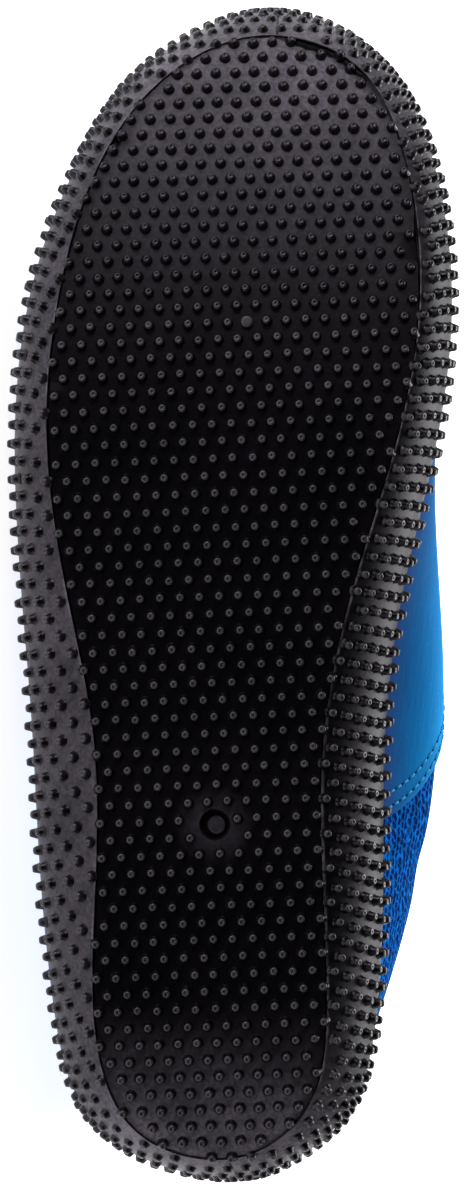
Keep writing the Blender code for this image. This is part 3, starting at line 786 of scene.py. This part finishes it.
def knit_cloth(name, thread, gap, pitch_along, pitch_across, rough, depth):
    """Coarse ribbed mesh: long open cells, each row of cells half a cell on from the last, with
    paler threads between them, all uneven by three noises. In the piece's flat coordinates a
    cell is pitch_along by pitch_across."""
    tree = Tree(bpy.data.materials.new(name))
    flat = tree.add("UVMap", uv_map="flat")
    x, y = tree.add("SeparateXYZ", flat, out=("X", "Y"))
    warp = tree.add("TexNoise", flat, Scale=220.0, Detail=3.0)
    tuft = tree.add("TexNoise", flat, Scale=520.0, Detail=2.0)
    fibre = tree.add("TexNoise", flat, Scale=FINE_SCALE, Detail=3.0)
    wobble = tree.math("MULTIPLY", tree.math("SUBTRACT", warp, 0.5), KNIT_WOBBLE)
    across = tree.math("ADD", tree.math("DIVIDE", y, pitch_across), wobble)
    odd = tree.math("MULTIPLY", tree.math("MODULO", tree.math("FLOOR", across), 2.0), 0.5)
    along = tree.math("ADD", tree.math("ADD", tree.math("DIVIDE", x, pitch_along), odd), wobble)
    squares = []
    for place, squeeze in ((along, 2.1), (across, 2.5)):
        off = tree.math("ABSOLUTE", tree.math("SUBTRACT", tree.math("FRACT", place), 0.5))
        squares.append(tree.math("POWER", tree.math("MULTIPLY", off, squeeze), 2.0))
    radius = tree.math("SQRT", tree.math("ADD", *squares))
    cover = tree.span(radius, 0.55, 1.0, 0.0, 1.0, smooth=True)
    tint = tree.scaled(
        tree.mix(gap, thread, cover),
        tree.span(fibre, 0.2, 0.8, 0.3, 1.7),
        tree.span(tuft, 0.3, 0.7, 0.35, 1.8),
    )
    height = tree.math("ADD", cover, tree.math("MULTIPLY", fibre, 0.25))
    return tree.dressed(tint, rough, CLOTH_SHINE, CLOTH_GLEAM, height, 0.8, depth)


# Sole


def turned_left(way):
    """Flat directions turned a quarter to the left: an edge's own becomes that to its middle."""
    return unit(np.stack([-way[..., 1], way[..., 0], np.zeros(len(way))], -1))


def on_tread(points, lift=0.0):
    """The same length and side, at the tread's height; lift goes into the rubber."""
    return np.stack([points[..., 0], points[..., 1], tread_height(points[..., 0]) + lift], -1)


def disc_rows(edge, count, lift=0.0):
    """Rows from a closed edge to the line halfway between its two sides, by equal shares."""
    middle = (edge + edge[-np.arange(len(edge))]) / 2
    share = np.linspace(1, 0, count)[:, None, None]
    return on_tread(middle + (edge - middle) * share, lift)


def bell(turn, centre, width):
    """Bell curve round an angle: e to the minus square of the distance over the width."""
    gap = np.mod(turn - centre + HALF_TURN, FULL_TURN) - HALF_TURN
    return np.exp(-((gap / width) ** 2))


# Parting line round the tread: distance inwards from the tread's edge and height into the rubber
GROOVE = ((0.00058, 0.0), (0.00046, 0.00022), (0.00030, 0.00045), (0.00016, 0.00036),
          (0.00006, -0.00010), (0.0, -0.00014))
# Where it is torn open: bell curves of the angle, each with its centre, width, height and most
TEARS = ((HALF_TURN + 0.21, 0.15, 1.7, 1.0), (2.485, 0.028, 1.3, 1.3), (4.02, 0.05, 0.5, 0.5))
# Seam layer's value in the groove; where the groove is torn it drops below the dark line's width,
# painted shade in the gap
GAP_SHADE_ON_TREAD = 0.0008


def parting_line(turns, edge):
    """Rows of the ragged groove and its lip, and how torn it is at each angle. Sums of sines
    make it uneven, and it is thin along the inner side."""
    step = 1e-3
    inward = turned_left(side_point(turns + step, 0.0) - side_point(turns - step, 0.0))
    waver = np.sin(37 * turns) * np.sin(23 * turns + 1) + 0.5 * np.sin(141 * turns)
    torn = sum(np.minimum(tall * bell(turns, at, wide), most) for at, wide, tall, most in TEARS)
    torn = torn * (1 + 0.2 * np.sin(90 * turns) * np.sin(61 * turns))
    thin = np.clip(-np.sin(turns), 0, 1) ** 2
    width = 1 - 0.5 * thin + 0.22 * waver + 2.7 * torn
    depth = 1 + 0.25 * np.sin(29 * turns) + 0.9 * torn
    rows = [on_tread(edge + inward * (inset * width)[:, None], lift * depth)
            for inset, lift in GROOVE]
    return rows, torn


def make_outsole(look):
    """Cup sole: tread, ragged parting groove with its lip, side, rim, inner side and floor."""
    turns = side_turns(6)
    groove, torn = parting_line(turns, side_point(turns, 0.0))
    tread = disc_rows(groove[0], 9)[::-1]
    levels = np.concatenate([[0.012, 0.03], np.linspace(0.07, 1, 14)])
    side = [side_point(turns, level) for level in levels]
    floor = floor_level(turns, SIDE_THICKNESS, BASE_THICKNESS)
    inner = [side_inset(turns, floor + (1 - floor) * share, SIDE_THICKNESS)
             for share in (1, 0.66, 0.33, 0)]
    inner[-1] = on_tread(inner[-1], BASE_THICKNESS)
    bottom = disc_rows(inner[-1], 4, BASE_THICKNESS)
    rows = np.stack([*tread, *groove[1:], *side, *inner, *bottom[1:]])
    closed = ring_closed(rows)
    edge_row = len(tread) - 1
    side_row = edge_row + len(groove)

    # Signed distance to the mould seams at toe and heel on the walls, as a sine of the length
    # round, drawn as thin dark lines; in the groove a set value, made small where the groove is
    # torn open, which paints shade in the torn gap
    half_way = side_row + len(side) // 2 - 1
    around = running_length(closed[half_way][None], 1)[0]
    phase = FULL_TURN / around[-1]
    seam_and_gap_shade = np.ones(closed.shape[:2])
    seam_and_gap_shade[side_row : side_row + len(side)] = (
        np.sin(around * phase) + math.sin(MOULD_SEAM_OFF * phase)
    ) / phase
    seam_and_gap_shade[edge_row : side_row - 1, :-1] = GAP_SHADE_ON_TREAD * np.clip(1 - 1.6 * torn, 0, 1)

    # Dust and painted sheen: paler at toe and heel, where the tread turns up to the light, on the
    # outer wall and a little on the inner one, less in the groove and unevenly along the lip;
    # partly dust, partly painted sheen of the light on these faces
    toe = ramp(closed[..., 0], 0.180, 0.265)
    heel = 1 - ramp(closed[..., 0], 0.0, 0.045)
    dust_and_sheen = np.maximum(1.25 * toe**2.2, 1.9 * heel**2)
    climbed = np.concatenate([levels, np.ones(len(rows) - side_row - len(levels))])
    late = ramp(climbed, 0.1, 0.4)[:, None]
    inner_side = np.append(np.clip(-1.5 * np.sin(turns), 0, 1), 0)[None]
    dust_and_sheen[side_row:] = np.maximum(dust_and_sheen[side_row:], 0.5 - inner_side * (0.5 - 0.15 * late))
    dust_and_sheen[edge_row:side_row] *= 0.3
    pale_lip = 0.2 + 0.7 * np.clip(0.4 + np.sin(19 * turns) * np.sin(31 * turns + 1), 0, 1)
    lip = slice(side_row - 1, side_row + 1)
    dust_and_sheen[lip] = np.maximum(dust_and_sheen[lip], np.append(pale_lip, pale_lip[0]))
    return make_piece("outsole_body", rows, True, np.stack([seam_and_gap_shade, dust_and_sheen], -1), [look])


# Turned forms, as shares of radius and height: a stud with a pit in its tip, and one rubbed flat
STUD_PROFILE = np.array([
    (1.00, -0.04), (0.84, 0.14), (0.74, 0.44), (0.65, 0.74), (0.46, 0.97), (0.28, 0.97),
    (0.0, 0.72),
]) * (STUD_RADIUS, STUD_HEIGHT)
WORN_PROFILE = np.array([
    (1.00, -0.04), (0.95, 0.20), (0.92, 0.46), (0.86, 0.56), (0.60, 0.58), (0.25, 0.57),
    (0.0, 0.58),
]) * (STUD_RADIUS, STUD_HEIGHT)


def rough_pins(name, bases, axes, look, seed, strength, tall=1.0):
    """Studs, each a little off its place and its upright, and pressed in where its tip would
    pass the floor that the shoe rests on."""
    random = np.random.default_rng(seed)
    bases = bases + random.normal(0, STUD_SHIFT, bases.shape)
    axes = unit(axes + random.normal(0, STUD_TILT, axes.shape))
    tips = bases + axes * STUD_HEIGHT * np.broadcast_to(tall, (len(bases),))[:, None]
    bases = bases - axes * np.clip(FLOOR_GAP - lay_down(tips)[:, 2:], 0, STUD_HEIGHT / 2)
    return pins(name, bases, axes, STUD_PROFILE, STUD_SIDES, look, strength, tall)


def tip_wear_and_highlight(x):
    """Greyness of the studs' tips, partly wear and partly painted highlight, at a length: full
    from the heel to the ball, none at the toe, where the studs are left dark.
    """
    return 1 - smooth_step(ramp(x, 0.190, 0.230))


def lattice():
    """Places of the sole's one pattern of studs, laid flat: rows STUD_ALONG of tread apart,
    each half a stud over from the last, reaching past the tread for the sides, and the whole
    turned by STUD_TURN about the middle."""
    fine = np.linspace(-LATTICE_REACH, SOLE_LENGTH + LATTICE_REACH, 2400)
    profile = np.stack([fine, tread_height(np.clip(fine, 0, SOLE_LENGTH))], -1)
    length = running_length(profile, 0) - LATTICE_REACH
    rows = np.arange(int(length[0] / STUD_ALONG), int(length[-1] / STUD_ALONG) + 1)[:, None]
    steps = np.arange(-LATTICE_STEPS, LATTICE_STEPS + 1)
    along = rows * STUD_ALONG - LATTICE_MIDDLE
    across = (steps + 0.5 * (rows % 2)) * STUD_ACROSS
    run = LATTICE_MIDDLE + along * math.cos(STUD_TURN) + across * math.sin(STUD_TURN)
    y = across * math.cos(STUD_TURN) - along * math.sin(STUD_TURN)
    return np.interp(run, length, fine).reshape(-1), y.reshape(-1)


def from_edge(x, y):
    """Angle of a flat place on the tread's edge, and its distance from there, above 0 outside.
    At the ends both follow the nearest place on the edge, along the sides the place straight
    across, and a smooth step of the cosine mixes the two."""
    near = np.linspace(0, FULL_TURN, 4321)[:-1]
    edge = side_point(near, 0.0)[:, :2]
    gaps = np.linalg.norm(np.stack([x, y], -1)[:, None] - edge[None], axis=-1)
    turn = near[np.argmin(gaps, axis=1)]
    share = (x - TREAD_HEEL_INSET) / TREAD_LENGTH
    here = np.arccos(1 - 2 * np.clip(share, 0, 1))
    outer, inner = closed_curve(TREAD_RING, here), closed_curve(TREAD_RING, -here)
    lean = SIDE_LEAN * np.clip(y - inner, 0, SIDE_HEIGHT) / SOLE_LENGTH
    here = np.arccos(1 - 2 * np.clip(share - lean, 0, 1))
    inside = (share > 0) & (share < 1) & (y > outer) & (y < inner)
    gap = gaps.min(axis=1) * np.where(inside, -1, 1)
    on_outer = y < (outer + inner) / 2
    straight_turn = np.where(on_outer, here, FULL_TURN - here)
    straight_gap = np.where(on_outer, outer - y, y - inner)
    mix = np.clip((0.92 - np.abs(np.cos(turn))) / 0.5, 0, 1)
    mix = np.where(np.abs(turn - straight_turn) < 1.0, smooth_step(mix), 0)
    return turn + (straight_turn - turn) * mix, gap + (straight_gap - gap) * mix, inside


def make_side_studs(look):
    """The pattern carried on over the sides: a stud's distance from the tread's edge, laid flat,
    becomes its run up the side's profile, a little squeezed."""
    turn, gap, inside = from_edge(*lattice())
    kept = ~inside & (gap > STUD_MARGIN) & (gap < SIDE_REACH)
    turn, gap = turn[kept], gap[kept]
    wide = np.cos(turn) ** 2 + np.clip(np.sin(turn), 0, 1) ** 2
    run = gap / (SIDE_SQUEEZE - END_STRETCH * wide)
    steps = 60
    length = running_length(side_point(turn[:, None], np.linspace(0, 1, steps + 1)[None]), 1)
    row = np.arange(len(turn))
    below = np.clip((length < run[:, None]).sum(axis=1) - 1, 0, steps - 1)
    before, after = length[row, below], length[row, below + 1]
    level = (below + (run - before) / (after - before)) / steps
    kept = run < length[:, -1] - STUD_RADIUS * 0.55
    turn, level = turn[kept], level[kept]
    bases = side_point(turn, level)
    tall = 1 - 0.35 * np.cos(turn) ** 4
    axes = normal_of(side_point, turn, level)
    wear_and_highlight = tip_wear_and_highlight(bases[:, 0])
    return rough_pins("side_studs", bases, axes, look, seed=5, strength=wear_and_highlight, tall=tall)


def make_tread_studs(look):
    """Studs of the tread, upright on it, one of them rubbed flat."""
    x, y = lattice()
    _, gap, inside = from_edge(x, y)
    off_gate = np.hypot(x - GATE_X, y - GATE_Y) > GATE_RADIUS + GATE_BARE_EDGE
    kept = inside & (gap < -STUD_MARGIN) & off_gate
    x, y = x[kept], y[kept]
    worn_and_highlit = np.argmin(np.hypot(x - WORN_STUD[0], y - WORN_STUD[1]))
    slope = (tread_height(x + 1e-4) - tread_height(x - 1e-4)) / 2e-4
    axes = unit(np.stack([slope, np.zeros(len(x)), -np.ones(len(x))], -1))
    bases = on_tread(np.stack([x, y], -1))
    flat_one = pins("rubbed_stud", bases[[worn_and_highlit]], axes[[worn_and_highlit]], WORN_PROFILE, WORN_STUD_SIDES,
                    look, strength=1.3)
    rest = np.arange(len(x)) != worn_and_highlit
    wear_and_highlight = tip_wear_and_highlight(x[rest])
    studs = rough_pins("tread_studs", bases[rest], axes[rest], look, seed=3, strength=wear_and_highlight)
    return studs, flat_one


def cut_gate(sole):
    """Ring that the injection gate leaves in the tread: a square profile carried round, cut out
    and left sharp."""
    angle = np.linspace(0, FULL_TURN, 49)[:-1]
    radius = np.array([GATE_RADIUS, GATE_RADIUS, GATE_PLUG_RADIUS, GATE_PLUG_RADIUS, GATE_RADIUS])
    rise = np.array([-1, 1, 1, -1, -1]) * GATE_DEPTH
    off = np.where(radius < GATE_RADIUS, GATE_PLUG_OFF, 0.0)
    radius, rise, off = radius[:, None], rise[:, None], off[:, None]
    rows = np.stack([GATE_X + radius * np.cos(angle), GATE_Y + off + radius * np.sin(angle),
                     tread_height(GATE_X) + rise + 0 * angle], -1)
    flat = np.tile([1.0, 0.0], (len(rows), len(angle) + 1, 1))
    cutter = make_piece("gate_cutter", rows, True, flat, [])
    cut = sole.modifiers.new("Gate", "BOOLEAN")
    cut.operation = "DIFFERENCE"
    cut.solver = "EXACT"
    cut.object = cutter
    graph = bpy.context.evaluated_depsgraph_get()
    mesh = bpy.data.meshes.new_from_object(sole.evaluated_get(graph))
    sole.modifiers.clear()
    sole.data = mesh
    mesh.name = sole.name
    mesh.set_sharp_from_angle(angle=math.radians(50))
    bpy.data.objects.remove(cutter)


# Cloth


def skin_turns(count_rear, count_front):
    """Angles round the upper, closer together at the throat."""
    rear = THROAT_TURN * (1 - np.linspace(1, 0, count_rear) ** 1.7)
    front = THROAT_TURN + (HALF_TURN - THROAT_TURN) * np.linspace(0, 1, count_front) ** 1.15
    return both_sides(np.concatenate([rear, front[1:]]))


def collar_turns(count):
    """Angles round the collar, closer together at the throat."""
    return both_sides(THROAT_TURN * (1 - np.linspace(1, 0, count) ** 1.5))


def thicken(obj, thickness, side):
    """Give a face a wall: inwards where side is -1, outwards where it is 1."""
    wall = obj.modifiers.new("Wall", "SOLIDIFY")
    wall.thickness = thickness
    wall.offset = side
    wall.use_even_offset = False
    wall.use_quality_normals = True
    return wall


def make_upper(outside, inside):
    """Hollow cloth upper: its foot inside the cup, its top at the collar's cut or at the crest."""
    turns = skin_turns(70, 75)
    foot = floor_level(turns, UPPER_INSET, BASE_THICKNESS + CLEARANCE)
    low = [side_inset(turns, level, UPPER_INSET) for level in (foot, (foot + 1) / 2)]
    levels = top_level(turns)[None] * np.linspace(0, 1, 57)[:, None]
    grid = np.concatenate([low, skin(np.broadcast_to(turns, levels.shape), levels)])
    looks = [outside, inside]
    obj = make_piece("upper_cloth", grid, True, flat_lengths(grid, 22), looks, recalculate=False)
    thicken(obj, UPPER_WALL, -1).material_offset = 1
    return obj


def panel_grid(across, climb, lift):
    """Points of the panel: rows run up the inner side to the crest and down the outer side."""
    levels, backs, fronts = np.array(PANEL_EDGES).T
    back = open_curve(levels, COLLAR_LENGTH + backs * SOLE_LENGTH, climb)
    front = open_curve(levels, fronts * SOLE_LENGTH, climb)
    halves = []
    for side in (1, -1):
        start, end = (turn_at(edge, climb, side) for edge in (back, front))
        turns = start[:, None] + (end - start)[:, None] * across[None]
        halves.append(skin(turns, np.broadcast_to(climb[:, None], turns.shape), lift))
    return np.concatenate([halves[0], halves[1][-2::-1]])


def make_panel(look, edge_highlight_look):
    """Smooth saddle over both sides and the instep, sewn on the upper. Its rim faces take their
    own blue, without the painted shade at the foot, a painted highlight along the edge.
    """
    across = np.linspace(0, 1, 61)
    climb = np.concatenate([[0.03], np.linspace(0.12, CREST_LEVEL, 72)])
    grid = panel_grid(across, climb, PANEL_CLEARANCE)
    climbed = running_length(grid, 0)
    # The second flat value, the distance from the nearer foot, sets the painted shade at the foot
    flat = np.stack([running_length(grid, 1), np.minimum(climbed, climbed[-1] - climbed)], -1)
    looks = [look, edge_highlight_look]
    obj = make_piece("midfoot_saddle", grid, False, flat, looks, recalculate=False)
    thicken(obj, PANEL_THICKNESS, 1).material_offset_rim = 1
    edge = obj.modifiers.new("Edge", "BEVEL")
    edge.width = 0.00035
    edge.segments = 2
    edge.limit_method = "ANGLE"
    edge.angle_limit = math.radians(50)
    return obj


def collar_drop(turns, drop):
    """Places on the skin a drop down from the collar's edge, at right angles to it, with their
    normals, and the edge with its own normal and way down. Angle and level are found by six
    least-squares steps on the skin, all places at once."""
    level = top_level(turns)
    edge = skin(turns, level)
    ahead = unit(np.roll(edge, -1, axis=0) - np.roll(edge, 1, axis=0))
    outward = normal_of(skin_plain, turns, np.minimum(level, BAND_NORMAL_LEVEL))
    down = unit(np.cross(ahead, outward))
    goal = edge + down * drop
    turn, height = turns.copy(), level.copy()
    step = 1e-3
    for _ in range(6):
        here = skin(turn, height)
        by_turn = (skin(turn + step, height) - here) / step
        by_level = (here - skin(turn, height - step)) / step
        move = np.linalg.pinv(np.stack([by_turn, by_level], -1)) @ (goal - here)[..., None]
        turn = turn + np.clip(move[:, 0, 0], -0.06, 0.06)
        height = np.clip(height + np.clip(move[:, 1, 0], -0.3, 0.3), 0.2, CREST_LEVEL)
    normal = normal_of(skin_plain, turn, np.minimum(height, BAND_NORMAL_LEVEL))
    return skin(turn, height), normal, edge, outward, down


def make_binding(look):
    """Folded band over the collar's edge: a soft U in section. Each of its points is a share of
    the band's width down the skin, then so far down the edge's own way and so far out."""
    turns = collar_turns(100)
    _, _, edge, outward, down = collar_drop(turns, 0.0)
    drops = {0.0: (edge, outward)}
    for share in (0.25, 0.5, 0.75, 1.0):
        drops[share] = collar_drop(turns, BINDING_WIDTH * share)[:2]
    near = BINDING_CLEARANCE
    over = near + BINDING_THICKNESS
    slot = -UPPER_WALL - BINDING_INNER_CLEARANCE
    inside = slot - BINDING_THICKNESS
    section = [
        (1.0, 0.0, near), (1.0, 0.0002, over - 0.0003), (1.0, -0.0002, over - 0.00005),
        (0.75, 0.0, over - 0.0002), (0.5, 0.0, over - 0.0001), (0.25, 0.0, over - 0.00005),
        (0.0, 0.0, over - 0.00005), (0.0, -over * 0.7, over - 0.0003),
        (0.0, -over * 1.15, over * 0.2), (0.0, -over * 1.25, (over + inside) / 2),
        (0.0, -over * 1.15, inside * 0.8), (0.0, -over * 0.7, inside + 0.0001),
        (0.0, 0.0, inside - 0.0002), (0.25, 0.0, inside - 0.0002), (0.5, 0.0, inside - 0.0001),
        (0.75, 0.0, inside), (1.0, -0.0002, inside), (1.0, 0.0002, inside + 0.0003),
        (1.0, 0.0, slot), (0.5, 0.0, slot), (0.0, -near, slot), (0.0, -near, near),
        (0.5, 0.0, near), (1.0, 0.0, near),
    ]
    rows = np.stack([drops[share][0] + down * drop + drops[share][1] * out
                     for share, drop, out in section])
    return make_piece("collar_band", rows, True, flat_lengths(rows, 6), [look])


def make_insole(look):
    """Foam sheet on the cup's floor: flat underneath, its top edge rounded."""
    turns = side_turns()
    depth = UPPER_INSET + UPPER_WALL + CLEARANCE
    low = BASE_THICKNESS + 1.2 * CLEARANCE
    edge = on_tread(side_inset(turns, floor_level(turns, depth, low), depth), low)
    inward = turned_left(np.roll(edge, -1, axis=0) - np.roll(edge, 1, axis=0))
    rim = [on_tread(edge + inward * inset, low + INSOLE_THICKNESS * rise)
           for inset, rise in ((0.0, 0.35), (0.0002, 0.7), (0.0006, 0.93), (0.0014, 1.0))]
    under = disc_rows(edge, 5, low)[::-1]
    top = disc_rows(rim[-1], 16, low + INSOLE_THICKNESS)
    rows = np.stack([*under, *rim, *top[1:]])
    return make_piece("insole_foam", rows, True, ring_closed(rows)[..., :2], [look])


# Stitches


def evenly(path, step):
    """Points and directions spaced evenly along a path."""
    length = running_length(path[None], 1)[0]
    at = np.arange(step, length[-1] - step / 2, step)
    point, ahead = (np.stack([np.interp(place, length, path[:, i]) for i in range(3)], -1)
                    for place in (at, at + step / 3))
    return point, unit(ahead - point)


# Turned forms, as shares of radius and length or height
STITCH_PROFILE = np.array([
    (0.10, 0.00), (0.62, 0.04), (0.95, 0.16), (1.00, 0.50), (0.95, 0.84), (0.62, 0.96), (0.0, 1.0),
])
HOLE_PROFILE = np.array([(1.0, -0.2), (0.9, 0.6), (0.6, 0.9), (0.0, 1.0)])
THREAD_RADIUS = 0.00030
THREAD_SIDES = 7
HOLE_HEIGHT = 0.00006
HOLE_SIDES = 9
BAND_THREAD_RADIUS = 0.00026
BAND_STITCH = 0.0021
BAND_STITCH_PITCH = 0.0030


def make_panel_stitches(look, hole_shade_look):
    """Two rows of stitches along each edge of the panel, half sunk in it, with a thin dark disc on
    the panel's face at each end: painted shade of a needle hole."""
    climb = np.linspace(0.05, CREST_LEVEL, 160)
    count = 160
    across = np.linspace(0, 1, count + 1)
    upper_face = panel_grid(across, climb, PANEL_CLEARANCE + PANEL_THICKNESS)
    lower_face = panel_grid(across, climb, PANEL_CLEARANCE)
    width = np.linalg.norm(upper_face[:, -1] - upper_face[:, 0], axis=-1)
    row = np.arange(len(width))
    starts, ways, normals = [], [], []
    for inset in STITCH_ROWS:
        for at in (inset / width, 1 - inset / width):
            i = np.clip(np.floor(at * count).astype(int), 0, count - 1)
            rest = (at * count - i)[:, None]
            path, below = (face[row, i] * (1 - rest) + face[row, i + 1] * rest
                           for face in (upper_face, lower_face))
            point, way = evenly(path, STITCH_PITCH)
            nearest = np.argmin(np.linalg.norm(point[:, None] - path[None], axis=-1), axis=1)
            starts.append(point)
            ways.append(way)
            normals.append(unit(path - below)[nearest])
    starts, ways, normals = (np.concatenate(part) for part in (starts, ways, normals))
    profile = STITCH_PROFILE * (THREAD_RADIUS, STITCH_PITCH * 0.60)
    places = starts - ways * STITCH_PITCH * 0.5 + normals * 0.00004
    hole_shades = pins("needle_hole_shades", places, normals, HOLE_PROFILE * (THREAD_RADIUS, HOLE_HEIGHT),
                 HOLE_SIDES, hole_shade_look)
    starts = starts - ways * STITCH_PITCH * 0.28
    return pins("panel_stitches", starts, ways, profile, THREAD_SIDES, look), hole_shades


def make_binding_stitches(look):
    """One row of stitches round the collar's band."""
    place, normal, *_ = collar_drop(collar_turns(120), BINDING_WIDTH * 0.76)
    path = place + normal * (BINDING_CLEARANCE + BINDING_THICKNESS - 0.0002)
    point, way = evenly(np.concatenate([path, path[:1]]), BAND_STITCH_PITCH)
    profile = STITCH_PROFILE * (BAND_THREAD_RADIUS, BAND_STITCH)
    return pins("band_stitches", point - way * 0.0010, way, profile, THREAD_SIDES, look)


# Looks. A rubber's two colours are clean and pale, the pale one dust and painted sheen, or body
# and a tip greyed partly by wear and partly by a painted highlight; a knit's are thread and
# open cells.
rubber = ground_rubber(
    "black_rubber_looks", (0.0018, 0.0012, 0.0024), (0.120, 0.106, 0.128), 0.42, 0.10)
# The studs' grey tip colour is partly wear and partly a painted highlight
studs_look = stud_rubber(
    "black_stud_looks", (0.0016, 0.0012, 0.0020), (0.040, 0.037, 0.042), 0.32, 0.42)
knit = knit_cloth(
    "blue_knit_looks", (0.0, 0.12, 0.48), (0.0, 0.018, 0.16), 0.0021, 0.0017, 0.7, 0.0006)
lining = knit_cloth(
    "lining_looks", (0.010, 0.014, 0.030), (0.003, 0.004, 0.010), 0.0016, 0.0010, 0.85, 0.0002)
tape = knit_cloth(
    "blue_binding_looks", (0.0, 0.035, 0.16), (0.0, 0.012, 0.06), 0.0009, 0.0006, 0.75, 0.0002)
foam = knit_cloth(
    "grey_foam_looks", (0.050, 0.052, 0.060), (0.020, 0.021, 0.026), 0.0012, 0.0009, 0.9, 0.0002)
# Its dark foot colour is painted shade towards the sole
saddle = smooth_cloth(
    "blue_smooth_looks", (0.0, 0.40, 0.98), 0.45, CLOTH_SHINE, foot=(0.0, 0.02, 0.16))
# The rim's blue, paler than the shaded face beside it, is a painted highlight along the panel's
# edge
saddle_edge_highlight = smooth_cloth("blue_edge_highlight_looks", (0.01, 0.36, 0.80), 0.6, CLOTH_SHINE)
thread = smooth_cloth("thread_looks", (0.07, 0.42, 0.80), 0.6, 0.05, flat_layer=False)
# Dark discs at the stitches' ends: painted shade of the needle holes
hole_shade = smooth_cloth("needle_hole_shade_looks", (0.0, 0.010, 0.06), 0.9, 0.0, flat_layer=False)

outsole = make_outsole(rubber)
cut_gate(outsole)
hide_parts("outsole")
for studs in (make_side_studs(studs_look), *make_tread_studs(studs_look)):
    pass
upper = make_upper(knit, lining)
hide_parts("upper")
panel = make_panel(saddle, saddle_edge_highlight)
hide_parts("midfoot_panel")
band = make_binding(tape)
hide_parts("collar_binding")
insole = make_insole(foam)
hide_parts("insole")
for stitches in make_panel_stitches(thread, hole_shade):
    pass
make_binding_stitches(thread)


# Room, lights and camera


def make_floor():
    """Plain pale floor under the lowest point."""
    mesh = bpy.data.meshes.new("floor")
    mesh.from_pydata([(-3, -3, 0), (3, -3, 0), (3, 4, 0), (-3, 4, 0)], [], [(0, 1, 2, 3)])
    tree = Tree(bpy.data.materials.new("floor_looks"))
    tree.give(tree.nodes["Principled BSDF"], {
        "Base Color": (0.88, 0.88, 0.88, 1),
        "Roughness": 0.9,
        "Emission Color": (1.0, 1.0, 1.0, 1),
        "Emission Strength": 0.85,
    })
    mesh.materials.append(tree.owner)
    floor = new_object("floor", mesh)


def direction(vector):
    """A direction in the shoe's axes, in the rest pose."""
    return Vector(REST_AXES @ np.array(vector))


def area_light(name, way, distance, size, power):
    """Square light that faces the shoe's middle from a direction in the shoe's axes."""
    light = bpy.data.lights.new(name, "AREA")
    light.shape = "SQUARE"
    light.size = size
    light.energy = power
    lamp = new_object(name, light)
    away = direction(way).normalized()
    lamp.location = Vector(lay_down(SHOE_MIDDLE)) + away * distance
    lamp.rotation_mode = "QUATERNION"
    lamp.rotation_quaternion = away.to_track_quat("Z", "Y")


def make_camera():
    """Camera straight under the tread, its picture's up between the toe and the outer side."""
    lens = bpy.data.cameras.new("camera")
    lens.sensor_fit = "AUTO"
    lens.sensor_width = SENSOR_WIDTH_MM
    lens.lens = SENSOR_WIDTH_MM * PHOTO_FOCAL / PHOTO_HEIGHT
    lens.clip_start = 0.01
    lens.clip_end = 50.0
    camera = new_object("camera", lens)
    toe, inner, top = (direction(axis) for axis in ((1, 0, 0), (0, 1, 0), (0, 0, 1)))
    up = toe * math.cos(CAMERA_ROLL) - inner * math.sin(CAMERA_ROLL)
    right = inner * math.cos(CAMERA_ROLL) + toe * math.sin(CAMERA_ROLL)
    turn = Matrix((right, up, -top)).transposed().to_4x4()
    turn.translation = Vector(lay_down(CAMERA_AIM)) - top * CAMERA_DISTANCE
    camera.matrix_world = turn
    bpy.context.scene.camera = camera


def make_world():
    """White room all round, dark in front of the tread where the camera stands and dimmer
    towards the inner side."""
    world = bpy.data.worlds.new("room")
    bpy.context.scene.world = world
    tree = Tree(world)
    place = tree.add("TexCoord", out="Generated")
    facing, aside = (
        tree.add("VectorMath", place, direction(way), operation="DOT_PRODUCT", out="Value")
        for way in ((0, 0, -1), (0, 1, 0))
    )
    bright_from, dark_to = (
        math.cos(math.radians(degrees)) for degrees in (ROOM_BRIGHT_FROM_DEG, ROOM_DARK_TO_DEG)
    )
    front = tree.span(facing, bright_from, dark_to, ROOM_BRIGHT, ROOM_DARK, smooth=True)
    side = tree.span(aside, *ROOM_SIDE_FADE, 1.0, ROOM_INNER_SHARE)
    tree.give(tree.nodes["Background"], {
        "Strength": tree.math("MULTIPLY", front, side),
        "Color": (1.0, 1.0, 1.0, 1),
    })


make_floor()
make_world()
area_light("toe_light", (0.80, -0.08, -0.60), 1.3, 0.5, 6)
area_light("inner_light", (0.05, 0.90, 0.45), 1.3, 1.0, 21)
make_camera()
bpy.context.scene.view_settings.view_transform = "Standard"
